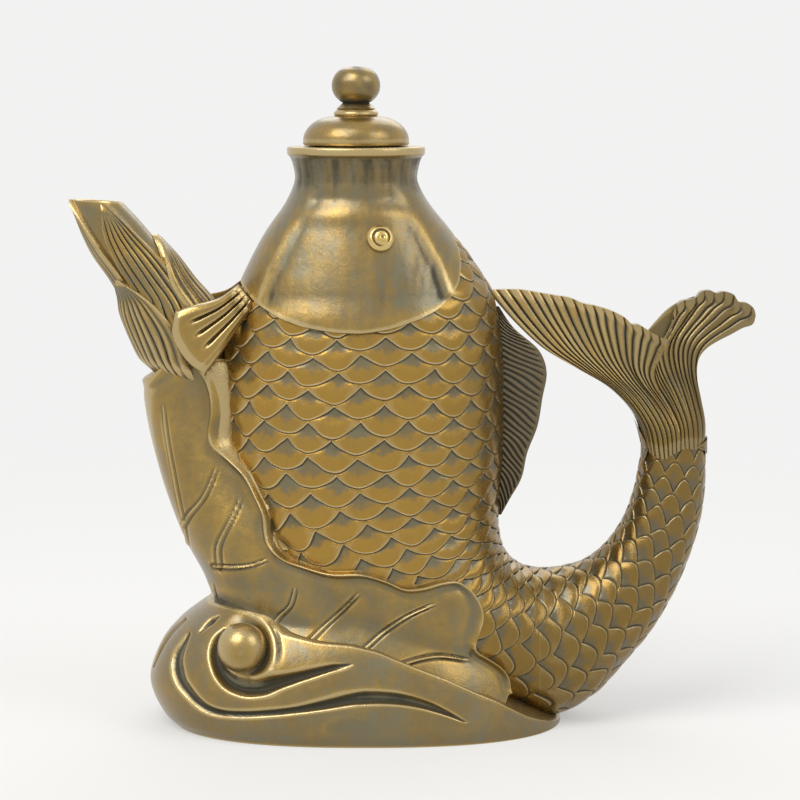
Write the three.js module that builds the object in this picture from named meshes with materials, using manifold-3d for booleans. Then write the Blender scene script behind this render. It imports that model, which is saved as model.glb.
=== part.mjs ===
// Wine ewer in the form of a leaping carp: the mouth is the neck, a lotus bud is the spout,
// a lotus leaf wraps the belly, and the scaled tail comes round as the handle, on a wave base.
// Millimetres, +Z up, +X towards the handle, -Y the near flank, origin under the middle.

import * as THREE from 'three';
import { mergeVertices } from 'three/addons/utils/BufferGeometryUtils.js';
import Module from 'manifold-3d';

const wasm = await Module();
wasm.setup();

// Fits and walls
const CLEARANCE = 0.3;
const BODY_WALL = 2.6;
const LEAF_PROUD = 1.9;
const RIM_PROUD = 2.9;
const RIM_HALF_WIDTH = 0.9;

// Trunk and tail: stations are counted in sections from the top
const BODY_TOP_Z = 112;
const VESSEL_FLOOR = 6.6;
const TRUNK_END = 10.5;
const TAIL_START = 8.5;
const TAIL_JOINT_X = 30;

// Facets
const FACET_TOLERANCE = 0.08;
const FACET_WELD = 1e-3;
const POINT_WELD = 1e-4;
const TRUNK_AROUND = 24;
const TRUNK_STEP = 0.5;
const BORE_AROUND = 20;
const BUD_AROUND = 18;
const BASE_AROUND = 28;
const HOLLOW_AROUND = 28;
const LID_AROUND = 24;
const STUD_AROUND = 14;

// Reach of cutting blocks: past the ewer's ends, past its flanks and through a face
const FAR = 200;
const PAST_FLANKS = 60;
const OVERCUT = 2;

// Mouth and lid
const MOUTH_X = -13.85;
const LIP_RADIUS = 17.05;
const LIP_TOP_Z = 143.6;
const LIP_THICKNESS = 1.6;
const NECK_BORE_RADIUS = 12.4;
const NECK_RADIUS = 15.15;
const LID_RADIUS = 13.1;
const LID_HEIGHT = 7.2;
const LID_WALL = 1.6;
const LID_FLAT_RADIUS = 5;
const LID_EDGE = 0.8;
const SPIGOT_FIT = 0.5;
const SPIGOT_WALL = 1.5;
const SPIGOT_DEPTH = 5;
const KNOB_RING_RADIUS = 5.5;
const KNOB_RING_THICKNESS = 1.4;
const KNOB_NECK_RADIUS = 4.1;
const KNOB_NECK_HEIGHT = 1.2;
const KNOB_RADIUS = 6.05;
const KNOB_HALF_HEIGHT = 4.75;
const KNOB_FLAT = 0.9;
const RIVET_RADIUS = 1.3;
const RIVET_HEAD_RADIUS = 2.6;
const RIVET_HEAD_THICKNESS = 1;
const RIVET_REACH = 6;

// Eyes
const EYE_X = -7.6;
const EYE_Z = 121;
const EYE_RADIUS = 3.3;
const EYE_PROUD = 1.3;
const EYE_PEG_RADIUS = 1.2;
const EYE_PEG_LENGTH = 2.2;
const EYE_SOCKET_REACH = 6;

// Spout bud
const PETAL_THICKNESS = 1;
const PETAL_GROOVE = 0.35;
const PETAL_GROOVES = 3;
const BUD_WALL_STEP = 1.1;
const BUD_STEP_STATIONS = [2.5, 4.2];

// Base
const HOLLOW_X = -23;
const HOLLOW_HALF_LENGTH = 30;
const HOLLOW_HALF_DEPTH = 23;
const HOLLOW_HEIGHT = 9;
const PLATE_THICKNESS = 1.6;
const PLATE_RECESS = 0.5;
const SCROLL_BALL_RADIUS = 5.4;
const SCROLL_BALL_X = -41.7;
const SCROLL_BALL_Z = 20.8;
const SCROLL_BALL_SUNK = 0.5;
const SCROLL_GROOVE_DEPTH = 2.2;
const SCROLL_GROOVE_HALF_WIDTH = 1.6;

// Fins
const TAIL_RIBS = 18;
const TAIL_ROOT_HALF_DEPTH = 7;
const TAIL_BLADE_HALF_DEPTH = 4.2;
const TAIL_EDGE_HALF_DEPTH = 1.7;
const TAIL_RIB_RELIEF = 0.7;
const TAIL_SKIN = 0.7;
const DORSAL_RIBS = 9;
const DORSAL_HALF_THICKNESS = 1.7;
const DORSAL_RIB_RELIEF = 0.5;
const DORSAL_EDGE_SHARE = 0.55;
const PECTORAL_RAYS = 4;
const PECTORAL_THICKNESS = 2.4;
const PECTORAL_RAY_RELIEF = 0.8;
const PECTORAL_ROOT_SHARE = 1.3;
const PECTORAL_TIP_SHARE = 0.7;
const PECTORAL_BACK_SHARE = 0.2;
const PECTORAL_ROOT_Y = -9;
const PECTORAL_TIP_Y = -15.2;

// Sections of each casting, from its top down: [right x, right z, left x, left z, half depth]
const FISH_SECTIONS = [
  [15.4, BODY_TOP_Z, -40.4, BODY_TOP_Z, 21.4],
  [18.4, 108, -42.6, 108, 22.8],
  [22.0, 98, -46.6, 98, 24.4],
  [22.8, 80.5, -48.5, 80.5, 25.2],
  [22.6, 66, -47.8, 62, 25.5],
  [21.7, 55, -43.5, 43, 25.4],
  [21.8, 48.5, -34, 27, 25],
  [22.6, 44.2, -18, 13.5, 23.8],
  [24.7, 40.7, 4, 6.5, 21.8],
  [28, 38.5, 21, 3, 19.6],
  [32.3, 37.7, 36, 0.9, 17.4],
  [37.8, 38.2, 45.5, 5.5, 15.3],
  [43.3, 39.9, 53.7, 14.2, 13.3],
  [48.3, 43.7, 61, 23.3, 11.4],
  [52.6, 49.6, 67.5, 35.5, 9.7],
  [55.3, 56.5, 71.9, 48.3, 8.5],
  [56.7, 62.8, 73.4, 58.5, 7.6],
  [57.8, 69.4, 73.4, 69.4, TAIL_ROOT_HALF_DEPTH],
];

const round = (z, radius) => [MOUTH_X + radius, z, MOUTH_X - radius, z, radius];

const HEAD_SECTIONS = [
  round(LIP_TOP_Z, LIP_RADIUS),
  round(LIP_TOP_Z - LIP_THICKNESS, LIP_RADIUS),
  round(LIP_TOP_Z - LIP_THICKNESS - 1.2, LIP_RADIUS - 0.9),
  round(138, NECK_RADIUS + 0.2),
  round(135.3, NECK_RADIUS),
  [3.7, 130.4, -31, 130.4, 16.9],
  [9.4, 123, -36.2, 123, 19.8],
  [15, 115.5, -40.3, 115.5, 22.2],
  [19.4, 108, -43.8, 108, 24.2],
  [23.4, 98, -48, 98, 25.8],
  [24.2, 94, -49, 94, 26.2],
];
const THROAT_SECTIONS = [
  round(LIP_TOP_Z + OVERCUT, NECK_BORE_RADIUS),
  round(139, NECK_BORE_RADIUS),
  round(134, NECK_BORE_RADIUS),
  [1, 130.4, -28.4, 130.4, 14.2],
  [6.8, 123, -33.6, 123, 17.2],
  [12.4, 115.5, -37.7, 115.5, 19.6],
  [14.2, 112.5, -39, 112.5, 20.3],
  [15.2, 106, -40, 106, 20.6],
];
const SPOUT_SECTIONS = [
  [-70.4, 129.7, -85.5, 130.7, 7.2],
  [-66.5, 125.6, -83.6, 126.2, 8],
  [-63, 121.6, -81.4, 120.8, 8.9],
  [-58, 116.3, -78.8, 115.5, 9.9],
  [-53, 110.8, -76.2, 110.6, 10.8],
  [-49, 106.3, -74, 106.5, 11.4],
  [-46, 101.5, -73, 102.5, 11.9],
  [-43.5, 96, -71.3, 98, 12.3],
  [-41.5, 90, -69.1, 93, 12.7],
  [-39.5, 83, -66.6, 88, 13.2],
  [-38, 75, -65.4, 80, 14.2],
  [-33, 66, -63.7, 70, 16.2],
  [-26, 56, -60.3, 58, 19.6],
  [-12, 46, -56.4, 46.5, 23.4],
  [2, 36, -50.9, 36.5, 25.4],
  [8, 28, -50, 29, 25.6],
];
const BORE_SECTIONS = [
  [-72.9, 131.5, -83.2, 132.3, 4.9],
  [-72.3, 127.5, -82.4, 128.2, 5],
  [-66.5, 119.8, -77.5, 118.6, 5.6],
  [-59.5, 110.5, -71.5, 108.2, 6.2],
  [-54, 101, -66.5, 98, 6.6],
  [-50, 91.5, -62.5, 86.5, 6.8],
  [-44.5, 82, -57, 74.5, 6.8],
  [-36.5, 75, -46, 63.5, 6.6],
  [-30, 71, -38, 59, 6.4],
];
const BASE_SECTIONS = [
  [12, 31, -50.5, 31, 24],
  [20, 25, -58.4, 25, 28.5],
  [28, 19, -63.3, 19, 31.6],
  [34, 11, -66, 11, 33.6],
  [37, 3, -62.6, 3, 34.2],
  [37.5, 0, -59.6, 0, 33.2],
];

// Outlines on the near flank, [x, z]; the far flank has the same
const GILL_EDGE = [
  [-42.5, 110.6], [-38.2, 106.4], [-32.9, 103.3], [-26.9, 101.2], [-18.9, 99.9], [-12, 99.7],
  [-5.2, 100.7], [1.8, 102.9], [6.5, 105.3], [10.3, 108.7], [12.2, 111.4],
];
const LEAF_EDGE = [
  [-64.7, 86], [-61, 88.2], [-57.6, 91.1], [-53, 92], [-48.1, 91.1], [-46.4, 88.9], [-45.4, 84.9],
  [-45, 80], [-45, 72.2], [-42.4, 68.5], [-39.4, 64.9], [-36.6, 59.7], [-34.4, 54.9], [-33.6, 50.6],
  [-32.6, 47.4], [-29.9, 44.8], [-26, 43.3], [-19.9, 41.8], [-12.4, 41.9], [-6.9, 40.2],
  [-2.8, 38.3], [1.1, 38.4], [5.7, 39.4], [9.2, 39.4], [12.9, 36.8], [15.7, 32.2], [16.3, 29],
  [15.2, 25], [14.7, 22], [17.3, 20], [20.7, 17.3], [22.5, 14.4], [23, 11.3],
];
const LEAF_HIDDEN_EDGE = [
  [20.7, 6.6], [8.7, 12.6], [-8.3, 19.6], [-22.5, 21.6], [-31.7, 22], [-45, 25], [-75, 25], [-75, 84],
];
const WAVE_CREST = [
  [37.5, 0.4], [28.8, 4.6], [20.7, 9.6], [13.3, 13.3], [8.7, 15.6], [0.1, 19.1], [-8.3, 22.6],
  [-14.6, 24], [-22.5, 24.6], [-31.7, 25.5], [-36, 28.3], [-41, 30], [-47, 30.5], [-51, 30.5],
];
const OUTER_SCROLL = [
  [-47.4, 28.7], [-51.9, 25.5], [-56.9, 21.5], [-58.1, 16.7], [-57, 12.2], [-53.7, 9.7],
  [-48.4, 7.4], [-41.4, 6.7], [-27.2, 8.8], [-22.6, 10.3], [-11.2, 12.3], [-2.8, 11.8],
  [5.9, 9.4], [12.7, 6.2],
];
const INNER_SCROLL = [
  [-46.2, 26.5], [-49.1, 21.4], [-47.7, 16.7], [-43.9, 13.8], [-38.9, 13.3], [-28.4, 16],
  [-20.8, 19.1], [-14.6, 20.5],
];
const TAIL_TIP_X = 85.7;
const TAIL_INNER_EDGE = [
  [57.8, 69.8], [55.5, 76.7], [49.5, 83.5], [40.7, 88.8], [32.7, 93.6], [25.6, 100.1], [18.5, 108.2],
];
const TAIL_OUTER_EDGE = [
  [73.4, 69.8], [73.2, 76], [72, 81], [71.2, 85.5], [71.1, 88.8], [71.9, 91.5], [76.2, 95.2],
  [82, 98.4], [TAIL_TIP_X, 101.6],
];
const TAIL_NEAR_TOP = [
  [18.5, 108.2], [26.8, 108.2], [36.1, 106.6], [42.5, 104.9], [49.8, 102.8], [54.5, 100],
  [58.3, 98.2], [61.8, 96.3], [64, 96.2], [64.6, 100.9], [66.8, 105], [70.6, 106.5], [74, 108],
  [77.2, 107.7], [80.6, 106], [84.4, 104.4], [TAIL_TIP_X, 101.6],
];
const TAIL_FAR_TOP = [
  [18.5, 108.2], [26.8, 108.2], [36.1, 106.6], [43, 104.6], [49.8, 102.8], [55, 99.9],
  [59.1, 98], [61.1, 100.4], [63.7, 103], [66.4, 104.9], [70.4, 106.7], [74, 108],
  [77.2, 107.7], [80.6, 106], [84.4, 104.4], [TAIL_TIP_X, 101.6],
];
const DORSAL_ROOT = [[20.5, 104.2], [20.5, 90], [20.5, 75], [20.5, 62], [20, 51.4]];
const DORSAL_EDGE = [
  [21.6, 104], [25.2, 98.8], [31.8, 92.8], [33.5, 87.8], [32.5, 81.3], [31.3, 74.2],
  [28.8, 67.4], [27.4, 61], [24.4, 55.4], [22.4, 51.6],
];
const PECTORAL_LOWER = [[-38.4, 105.4], [-43.2, 98.8], [-47.1, 93.1], [-50.6, 88.7]];
const PECTORAL_UPPER = [[-42.6, 110.2], [-47.1, 107.1], [-53.8, 105.4], [-57.5, 104.1]];
const PECTORAL_TIP = [[-50.6, 88.7], [-54, 91.2], [-56.8, 94.9], [-58.4, 99], [-57.5, 104.1]];

// Turns a closed triangle list outwards and makes it a geometry
function closedGeometry(points, index) {
  let volume = 0;
  for (let i = 0; i < index.length; i += 3) {
    const [a, b, c] = [points[index[i]], points[index[i + 1]], points[index[i + 2]]];
    volume += a.dot(b.clone().cross(c));
  }
  const turned = volume < 0 ? index.slice().reverse() : index;
  const geometry = new THREE.BufferGeometry();
  const coordinates = points.flatMap((point) => [point.x, point.y, point.z]);
  geometry.setAttribute('position', new THREE.Float32BufferAttribute(coordinates, 3));
  geometry.setIndex(turned);
  return geometry;
}

function solid(geometry, weld = POINT_WELD) {
  const merged = mergeVertices(withoutExtras(geometry.clone()), weld);
  const mesh = new wasm.Mesh({
    numProp: 3,
    vertProperties: new Float32Array(merged.attributes.position.array),
    triVerts: new Uint32Array(merged.index.array),
  });
  return new wasm.Manifold(mesh);
}

function geometryOf(body) {
  const { vertProperties, triVerts } = body.getMesh();
  const geometry = new THREE.BufferGeometry();
  geometry.setAttribute('position', new THREE.BufferAttribute(new Float32Array(vertProperties), 3));
  geometry.setIndex(Array.from(triVerts));
  geometry.computeVertexNormals();
  return geometry;
}

// Cuts can leave slivers of no volume beside a piece, so the piece is welded and kept alone
function finished(body) {
  const welded = solid(geometryOf(body.simplify(FACET_TOLERANCE)), FACET_WELD);
  const larger = (most, part) => (part.volume() > most.volume() ? part : most);
  return geometryOf(welded.decompose().reduce(larger));
}

const join = (first, ...others) => others.reduce((whole, other) => whole.add(other), first);
const cut = (first, ...others) => others.reduce((whole, other) => whole.subtract(other), first);

// Skin between rings of equal point counts, closed by a fan at each end
function loft(rings) {
  const around = rings[0].length;
  const points = rings.flat();
  const index = [];
  for (let i = 0; i < rings.length - 1; i += 1) {
    for (let j = 0; j < around; j += 1) {
      const a = i * around + j;
      const b = i * around + ((j + 1) % around);
      index.push(a, b, b + around, a, b + around, a + around);
    }
  }
  for (const end of [0, rings.length - 1]) {
    const centre = new THREE.Vector3();
    rings[end].forEach((point) => centre.addScaledVector(point, 1 / around));
    points.push(centre);
    for (let j = 0; j < around; j += 1) {
      const a = end * around + j;
      const b = end * around + ((j + 1) % around);
      index.push(...(end === 0 ? [b, a, points.length - 1] : [a, b, points.length - 1]));
    }
  }
  return closedGeometry(points, index);
}

// A casting whose cross-sections are ovals between a right and a left outline
class Limb {
  constructor(sections, squareness = 2) {
    this.last = sections.length - 1;
    this.power = 2 / squareness;
    const outline = (points) => new THREE.CatmullRomCurve3(points.map((xyz) => new THREE.Vector3(...xyz)));
    this.right = outline(sections.map(([x, z, , , y]) => [x, y, z]));
    this.left = outline(sections.map(([, , x, z, y]) => [x, y, z]));
  }

  point(station, angle, offset = 0) {
    const share = THREE.MathUtils.clamp(station / this.last, 0, 1);
    const right = this.right.getPoint(share);
    const left = this.left.getPoint(share);
    const across = new THREE.Vector3(right.x - left.x, 0, right.z - left.z);
    const half = across.length() / 2 + offset;
    const bend = (value) => Math.sign(value) * Math.abs(value) ** this.power;
    const point = right.clone().add(left).multiplyScalar(0.5);
    point.y = -(right.y + offset) * bend(Math.sin(angle));
    return point.addScaledVector(across.normalize(), half * bend(Math.cos(angle)));
  }

  ring(station, offset, around) {
    const turn = (2 * Math.PI) / around;
    return Array.from({ length: around }, (_, j) => this.point(station, j * turn, offset));
  }

  // offset may be a number or a function of the station; grow pushes both ends out as well
  body(from, to, steps, around, offset = 0, grow = 0) {
    const reach = typeof offset === 'function' ? offset : () => offset;
    const rings = Array.from({ length: steps + 1 }, (_, i) => {
      const station = from + ((to - from) * i) / steps;
      return this.ring(station, reach(station), around);
    });
    if (grow > 0) {
      rings.unshift(shifted(rings[0], rings[1], grow));
      rings.push(shifted(rings[rings.length - 1], rings[rings.length - 2], grow));
    }
    return solid(loft(rings));
  }

  // Station and angle where a level section meets an x on the near side
  near(station, x, offset = 0) {
    const right = this.point(station, 0, offset).x;
    const left = this.point(station, Math.PI, offset).x;
    const share = THREE.MathUtils.clamp((2 * x - right - left) / (right - left), -1, 1);
    const angle = Math.acos(Math.sign(share) * Math.abs(share) ** (1 / this.power));
    return this.point(station, angle, offset);
  }
}

const middleOf = (ring) => ring
  .reduce((sum, point) => sum.add(point), new THREE.Vector3())
  .multiplyScalar(1 / ring.length);

function shifted(ring, neighbour, distance) {
  const way = middleOf(ring).sub(middleOf(neighbour)).setLength(distance);
  return ring.map((point) => point.clone().add(way));
}

// Station of the level section at a height
function levelStation(sections, z) {
  const i = sections.findIndex(([, high], k) => high >= z && sections[k + 1][1] <= z);
  return i + (sections[i][1] - z) / (sections[i][1] - sections[i + 1][1]);
}

// Block through the ewer from flank to flank with an outline seen from the near side
function prism(outline) {
  const shape = new THREE.Shape(outline.map(([x, z]) => new THREE.Vector2(x, z)));
  const block = new THREE.ExtrudeGeometry(shape, { depth: 2 * PAST_FLANKS, bevelEnabled: false });
  block.rotateX(Math.PI / 2);
  block.translate(0, PAST_FLANKS, 0);
  return solid(block);
}

// Outline of a band that follows a line of points
function band(line, halfWidth) {
  const sides = line.map(([x, z], i) => {
    const [ax, az] = line[Math.max(i - 1, 0)];
    const [bx, bz] = line[Math.min(i + 1, line.length - 1)];
    const length = Math.hypot(bx - ax, bz - az);
    const [nx, nz] = [(-(bz - az) / length) * halfWidth, ((bx - ax) / length) * halfWidth];
    return [[x + nx, z + nz], [x - nx, z - nz]];
  });
  return [...sides.map(([side]) => side), ...sides.map(([, side]) => side).reverse()];
}

// Solid of revolution about an upright axis, profile given as [radius, height]
function turned(profile, x = MOUTH_X, segments = LID_AROUND) {
  const shape = new THREE.LatheGeometry(profile.map(([r, z]) => new THREE.Vector2(r, z)), segments);
  shape.rotateX(Math.PI / 2);
  const raw = mergeVertices(withoutExtras(shape), POINT_WELD);
  const { position } = raw.attributes;
  const pointAt = (_, i) => new THREE.Vector3().fromBufferAttribute(position, i);
  const points = Array.from({ length: position.count }, pointAt);
  const index = [];
  for (let i = 0; i < raw.index.count; i += 3) {
    const [a, b, c] = [raw.index.getX(i), raw.index.getX(i + 1), raw.index.getX(i + 2)];
    if (a !== b && b !== c && a !== c) index.push(a, b, c);
  }
  return closedGeometry(points, index).translate(x, 0, 0);
}

function withoutExtras(geometry) {
  geometry.deleteAttribute('normal');
  geometry.deleteAttribute('uv');
  return geometry;
}

// Rows of points from a function of the row and the column
const gridOf = (rows, columns, pointAt) => Array.from(
  { length: rows + 1 },
  (_, i) => Array.from({ length: columns + 1 }, (__, j) => pointAt(i, j)),
);

// Blade between a near and a far grid of points, joined round the edge
function blade(near, far) {
  const rows = near.length;
  const columns = near[0].length;
  const points = [...near.flat(), ...far.flat()];
  const farStart = rows * columns;
  const index = [];
  const quad = (a, b, c, d) => index.push(a, b, c, a, c, d);
  for (let i = 0; i < rows - 1; i += 1) {
    for (let j = 0; j < columns - 1; j += 1) {
      const a = i * columns + j;
      quad(a, a + 1, a + columns + 1, a + columns);
      quad(farStart + a, farStart + a + columns, farStart + a + columns + 1, farStart + a + 1);
    }
  }
  const rim = [];
  for (let j = 0; j < columns - 1; j += 1) rim.push(j);
  for (let i = 0; i < rows - 1; i += 1) rim.push(i * columns + columns - 1);
  for (let j = columns - 1; j > 0; j -= 1) rim.push((rows - 1) * columns + j);
  for (let i = rows - 1; i > 0; i -= 1) rim.push(i * columns);
  rim.forEach((a, k) => {
    const b = rim[(k + 1) % rim.length];
    quad(b, a, farStart + a, farStart + b);
  });
  return closedGeometry(points, index);
}

const curveThrough = (line) => new THREE.CatmullRomCurve3(line.map(([x, z]) => new THREE.Vector3(x, 0, z)));

// Surface stretched between four edge lines: v from side to side, u from root to tip
function stretched(sideA, sideB, root, tip) {
  const [a, b, r, t] = [sideA, sideB, root, tip].map(curveThrough);
  return (v, u) => {
    const point = new THREE.Vector3();
    point.addScaledVector(a.getPointAt(u), 1 - v).addScaledVector(b.getPointAt(u), v);
    point.addScaledVector(r.getPointAt(v), 1 - u).addScaledVector(t.getPointAt(v), u);
    point.addScaledVector(a.getPoint(0), -(1 - v) * (1 - u)).addScaledVector(b.getPoint(0), -v * (1 - u));
    return point.addScaledVector(a.getPoint(1), -(1 - v) * u).addScaledVector(b.getPoint(1), -v * u);
  };
}

const mirrored = (body) => body.mirror([0, 1, 0]);
const smooth = THREE.MathUtils.smoothstep;
const mix = THREE.MathUtils.lerp;

// Fish: trunk and tail share one run of sections
const fish = new Limb(FISH_SECTIONS);
const head = new Limb(HEAD_SECTIONS, 2.15);
const throat = new Limb(THROAT_SECTIONS);
const spout = new Limb(SPOUT_SECTIONS);
const bore = new Limb(BORE_SECTIONS);
const base = new Limb(BASE_SECTIONS, 2.4);

const fishPart = (from, to, offset = 0, grow = 0) => fish
  .body(from, to, (to - from) / TRUNK_STEP, TRUNK_AROUND, offset, grow);
const fishRun = (offset, grow = 0) => fishPart(0, fish.last, offset, grow);
const between = (left, right) => prism([[left, -FAR], [right, -FAR], [right, FAR], [left, FAR]]);

const boreCut = bore.body(0, bore.last, bore.last, BORE_AROUND);
const fishEnvelope = fishRun(CLEARANCE, CLEARANCE);

function makeFishBody() {
  const trunk = fishPart(0, TRUNK_END).intersect(between(-FAR, TAIL_JOINT_X - CLEARANCE / 2));
  const cavity = fish.body(0, VESSEL_FLOOR, 10, BORE_AROUND, -BODY_WALL, BODY_WALL);
  return cut(trunk, cavity, boreCut);
}

function makeTailRoot() {
  return fishPart(TAIL_START, fish.last).intersect(between(TAIL_JOINT_X + CLEARANCE / 2, FAR));
}

// Above the free edge of the gill cover, which is level past both its ends
const aboveGill = (drop) => prism([
  [-FAR, GILL_EDGE[0][1] - drop], ...GILL_EDGE.map(([x, z]) => [x, z - drop]),
  [FAR, BODY_TOP_Z - drop], [FAR, FAR], [-FAR, FAR],
]);
const headForm = (offset) => head.body(0, head.last, 1.5 * head.last, TRUNK_AROUND, offset, offset);
const headEnvelope = headForm(CLEARANCE).intersect(aboveGill(CLEARANCE));

// Frame of an eye: its place on the cheek and the outward direction there
function eyeSeat() {
  const station = levelStation(HEAD_SECTIONS, EYE_Z);
  const place = head.near(station, EYE_X);
  const beside = head.near(station, EYE_X + 1).sub(place);
  const below = head.near(station + 0.1, EYE_X).sub(place);
  const outward = beside.cross(below).normalize();
  if (outward.y > 0) outward.negate();
  return { place, turn: new THREE.Quaternion().setFromUnitVectors(new THREE.Vector3(0, 0, 1), outward) };
}

function onEyeSeat(profile) {
  const { place, turn } = eyeSeat();
  const piece = turned(profile, 0, STUD_AROUND);
  piece.applyQuaternion(turn);
  return solid(piece.translate(place.x, place.y, place.z));
}

function makeHead() {
  const skull = headForm(0).intersect(aboveGill(0));
  const shell = cut(skull, throat.body(0, throat.last, throat.last, LID_AROUND), fishEnvelope);
  const [hole, seat] = [EYE_PEG_RADIUS + CLEARANCE, EYE_RADIUS + CLEARANCE];
  const socket = onEyeSeat([
    [0, -EYE_SOCKET_REACH], [hole, -EYE_SOCKET_REACH], [hole, 0], [seat, 0],
    [seat, EYE_SOCKET_REACH], [0, EYE_SOCKET_REACH],
  ]);
  return cut(shell, socket, mirrored(socket));
}

function makeEye() {
  return onEyeSeat([
    [0, -EYE_PEG_LENGTH], [EYE_PEG_RADIUS, -EYE_PEG_LENGTH], [EYE_PEG_RADIUS, CLEARANCE],
    [EYE_RADIUS, CLEARANCE], [EYE_RADIUS, CLEARANCE + EYE_PROUD * 0.4],
    [EYE_RADIUS * 0.8, CLEARANCE + EYE_PROUD * 0.8], [EYE_RADIUS * 0.45, CLEARANCE + EYE_PROUD],
    [0, CLEARANCE + EYE_PROUD],
  ]);
}

// Spout: core under the petals, bored from the mouth into the vessel
const coreOffset = (station) => -(
  CLEARANCE + PETAL_THICKNESS + BUD_WALL_STEP * smooth(station, ...BUD_STEP_STATIONS)
);
const spoutSilhouette = (offset, grow = 0) => spout
  .body(0, spout.last, spout.last, BUD_AROUND, offset, grow);
const spoutEnvelope = spoutSilhouette((station) => coreOffset(station) + CLEARANCE, CLEARANCE);

function makeSpoutTube() {
  return cut(spoutSilhouette(coreOffset), boreCut, fishEnvelope, headEnvelope);
}

// Share of a petal's spread from its narrow apex, over the widest place, to its root
const petalWidth = (u) => Math.max(0.1, Math.sin(Math.PI * Math.min(0.62, 0.02 + u * 0.75)) ** 0.8);

// A petal lies on the core: centre and spread are angles, 0 right, 90 near, 180 left
function makePetal({ centre, spread, from, to, layer, lean = 0 }) {
  const rows = 6;
  const columns = 2 * PETAL_GROOVES + 2;
  const inner = CLEARANCE + layer * (PETAL_THICKNESS + CLEARANCE);
  const thickness = layer === 0 ? PETAL_THICKNESS : BUD_WALL_STEP - CLEARANCE;
  const face = (lift) => gridOf(rows, columns, (i, j) => {
    const station = mix(from, to, i / rows);
    const across = (2 * j) / columns - 1;
    const angle = centre + lean * (1 - i / rows) + across * spread * petalWidth(i / rows);
    const height = coreOffset(station) + inner + lift(i, j, across);
    return spout.point(station, THREE.MathUtils.degToRad(angle), height);
  });
  const grooved = (i, j, across) => {
    const inGroove = i > 0 && j > 0 && j < columns && j % 2 === 0;
    return thickness * (0.55 + 0.45 * (1 - across * across)) - (inGroove ? PETAL_GROOVE : 0);
  };
  return solid(blade(face(grooved), face(() => 0)));
}

const UPPER_PETAL = { centre: 88, spread: 34, from: 0.25, to: 6, layer: 0, lean: -20 };
const LOWER_PETAL = { centre: 133, spread: 42, from: 3.9, to: 9.8, layer: 1 };
const SIDE_PETAL = { centre: 180, spread: 50, from: 0, to: 5.6, layer: 0 };
const INNER_PETAL = { centre: 0, spread: 41, from: 1.9, to: 6.4, layer: 0 };

// Leaf: a sheet over belly and stalk, with a raised rim
const leafForm = (proud) => join(fishRun(proud), spoutSilhouette((s) => coreOffset(s) + proud));
const leafRegion = prism([...LEAF_EDGE, ...LEAF_HIDDEN_EDGE]);
const leafEnvelope = leafForm(RIM_PROUD + CLEARANCE).intersect(
  join(leafRegion, prism(band(LEAF_EDGE, RIM_HALF_WIDTH + CLEARANCE))),
);

function makeLeaf() {
  const sheet = leafForm(LEAF_PROUD).intersect(leafRegion);
  const rim = leafForm(RIM_PROUD).intersect(prism(band(LEAF_EDGE, RIM_HALF_WIDTH)));
  return cut(join(sheet, rim), fishEnvelope, spoutEnvelope, headEnvelope);
}

// Wave base
const baseForm = (offset) => base.body(0, base.last, 8, BASE_AROUND, offset);
const alongBase = (line, halfWidth, depth) => cut(baseForm(OVERCUT), baseForm(-depth))
  .intersect(prism(band(line, halfWidth)));

// Upright oval block in the middle of the base
const ovalBlock = (halfLength, halfDepth, low, high) => {
  const turn = (2 * Math.PI) / HOLLOW_AROUND;
  const ring = (z) => Array.from({ length: HOLLOW_AROUND }, (_, j) => new THREE.Vector3(
    HOLLOW_X + halfLength * Math.cos(j * turn), halfDepth * Math.sin(j * turn), z,
  ));
  return solid(loft([ring(low), ring(high)]));
};

function makeWaveBase() {
  const [crestEnd] = WAVE_CREST;
  const underCrest = prism([[-FAR, -FAR], [FAR, -FAR], [FAR, crestEnd[1]], ...WAVE_CREST, [-FAR, 24]]);
  const mass = baseForm(0).intersect(underCrest);
  const hollow = ovalBlock(HOLLOW_HALF_LENGTH, HOLLOW_HALF_DEPTH, -OVERCUT, HOLLOW_HEIGHT);
  const carved = cut(
    mass, hollow, fishEnvelope, leafEnvelope, spoutEnvelope,
    alongBase(OUTER_SCROLL, SCROLL_GROOVE_HALF_WIDTH, SCROLL_GROOVE_DEPTH),
    alongBase(INNER_SCROLL, SCROLL_GROOVE_HALF_WIDTH, SCROLL_GROOVE_DEPTH),
  );
  const seat = base.near(levelStation(BASE_SECTIONS, SCROLL_BALL_Z), SCROLL_BALL_X);
  const ballY = seat.y + SCROLL_BALL_RADIUS * SCROLL_BALL_SUNK;
  const ball = new THREE.SphereGeometry(SCROLL_BALL_RADIUS, 16, 10);
  const nearBall = solid(ball.translate(SCROLL_BALL_X, ballY, SCROLL_BALL_Z));
  return cut(join(carved, nearBall, mirrored(nearBall)), leafEnvelope, spoutEnvelope, fishEnvelope);
}

function makeBottomPlate() {
  const [halfLength, halfDepth] = [HOLLOW_HALF_LENGTH - CLEARANCE, HOLLOW_HALF_DEPTH - CLEARANCE];
  return ovalBlock(halfLength, halfDepth, PLATE_RECESS, PLATE_RECESS + PLATE_THICKNESS);
}

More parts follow.
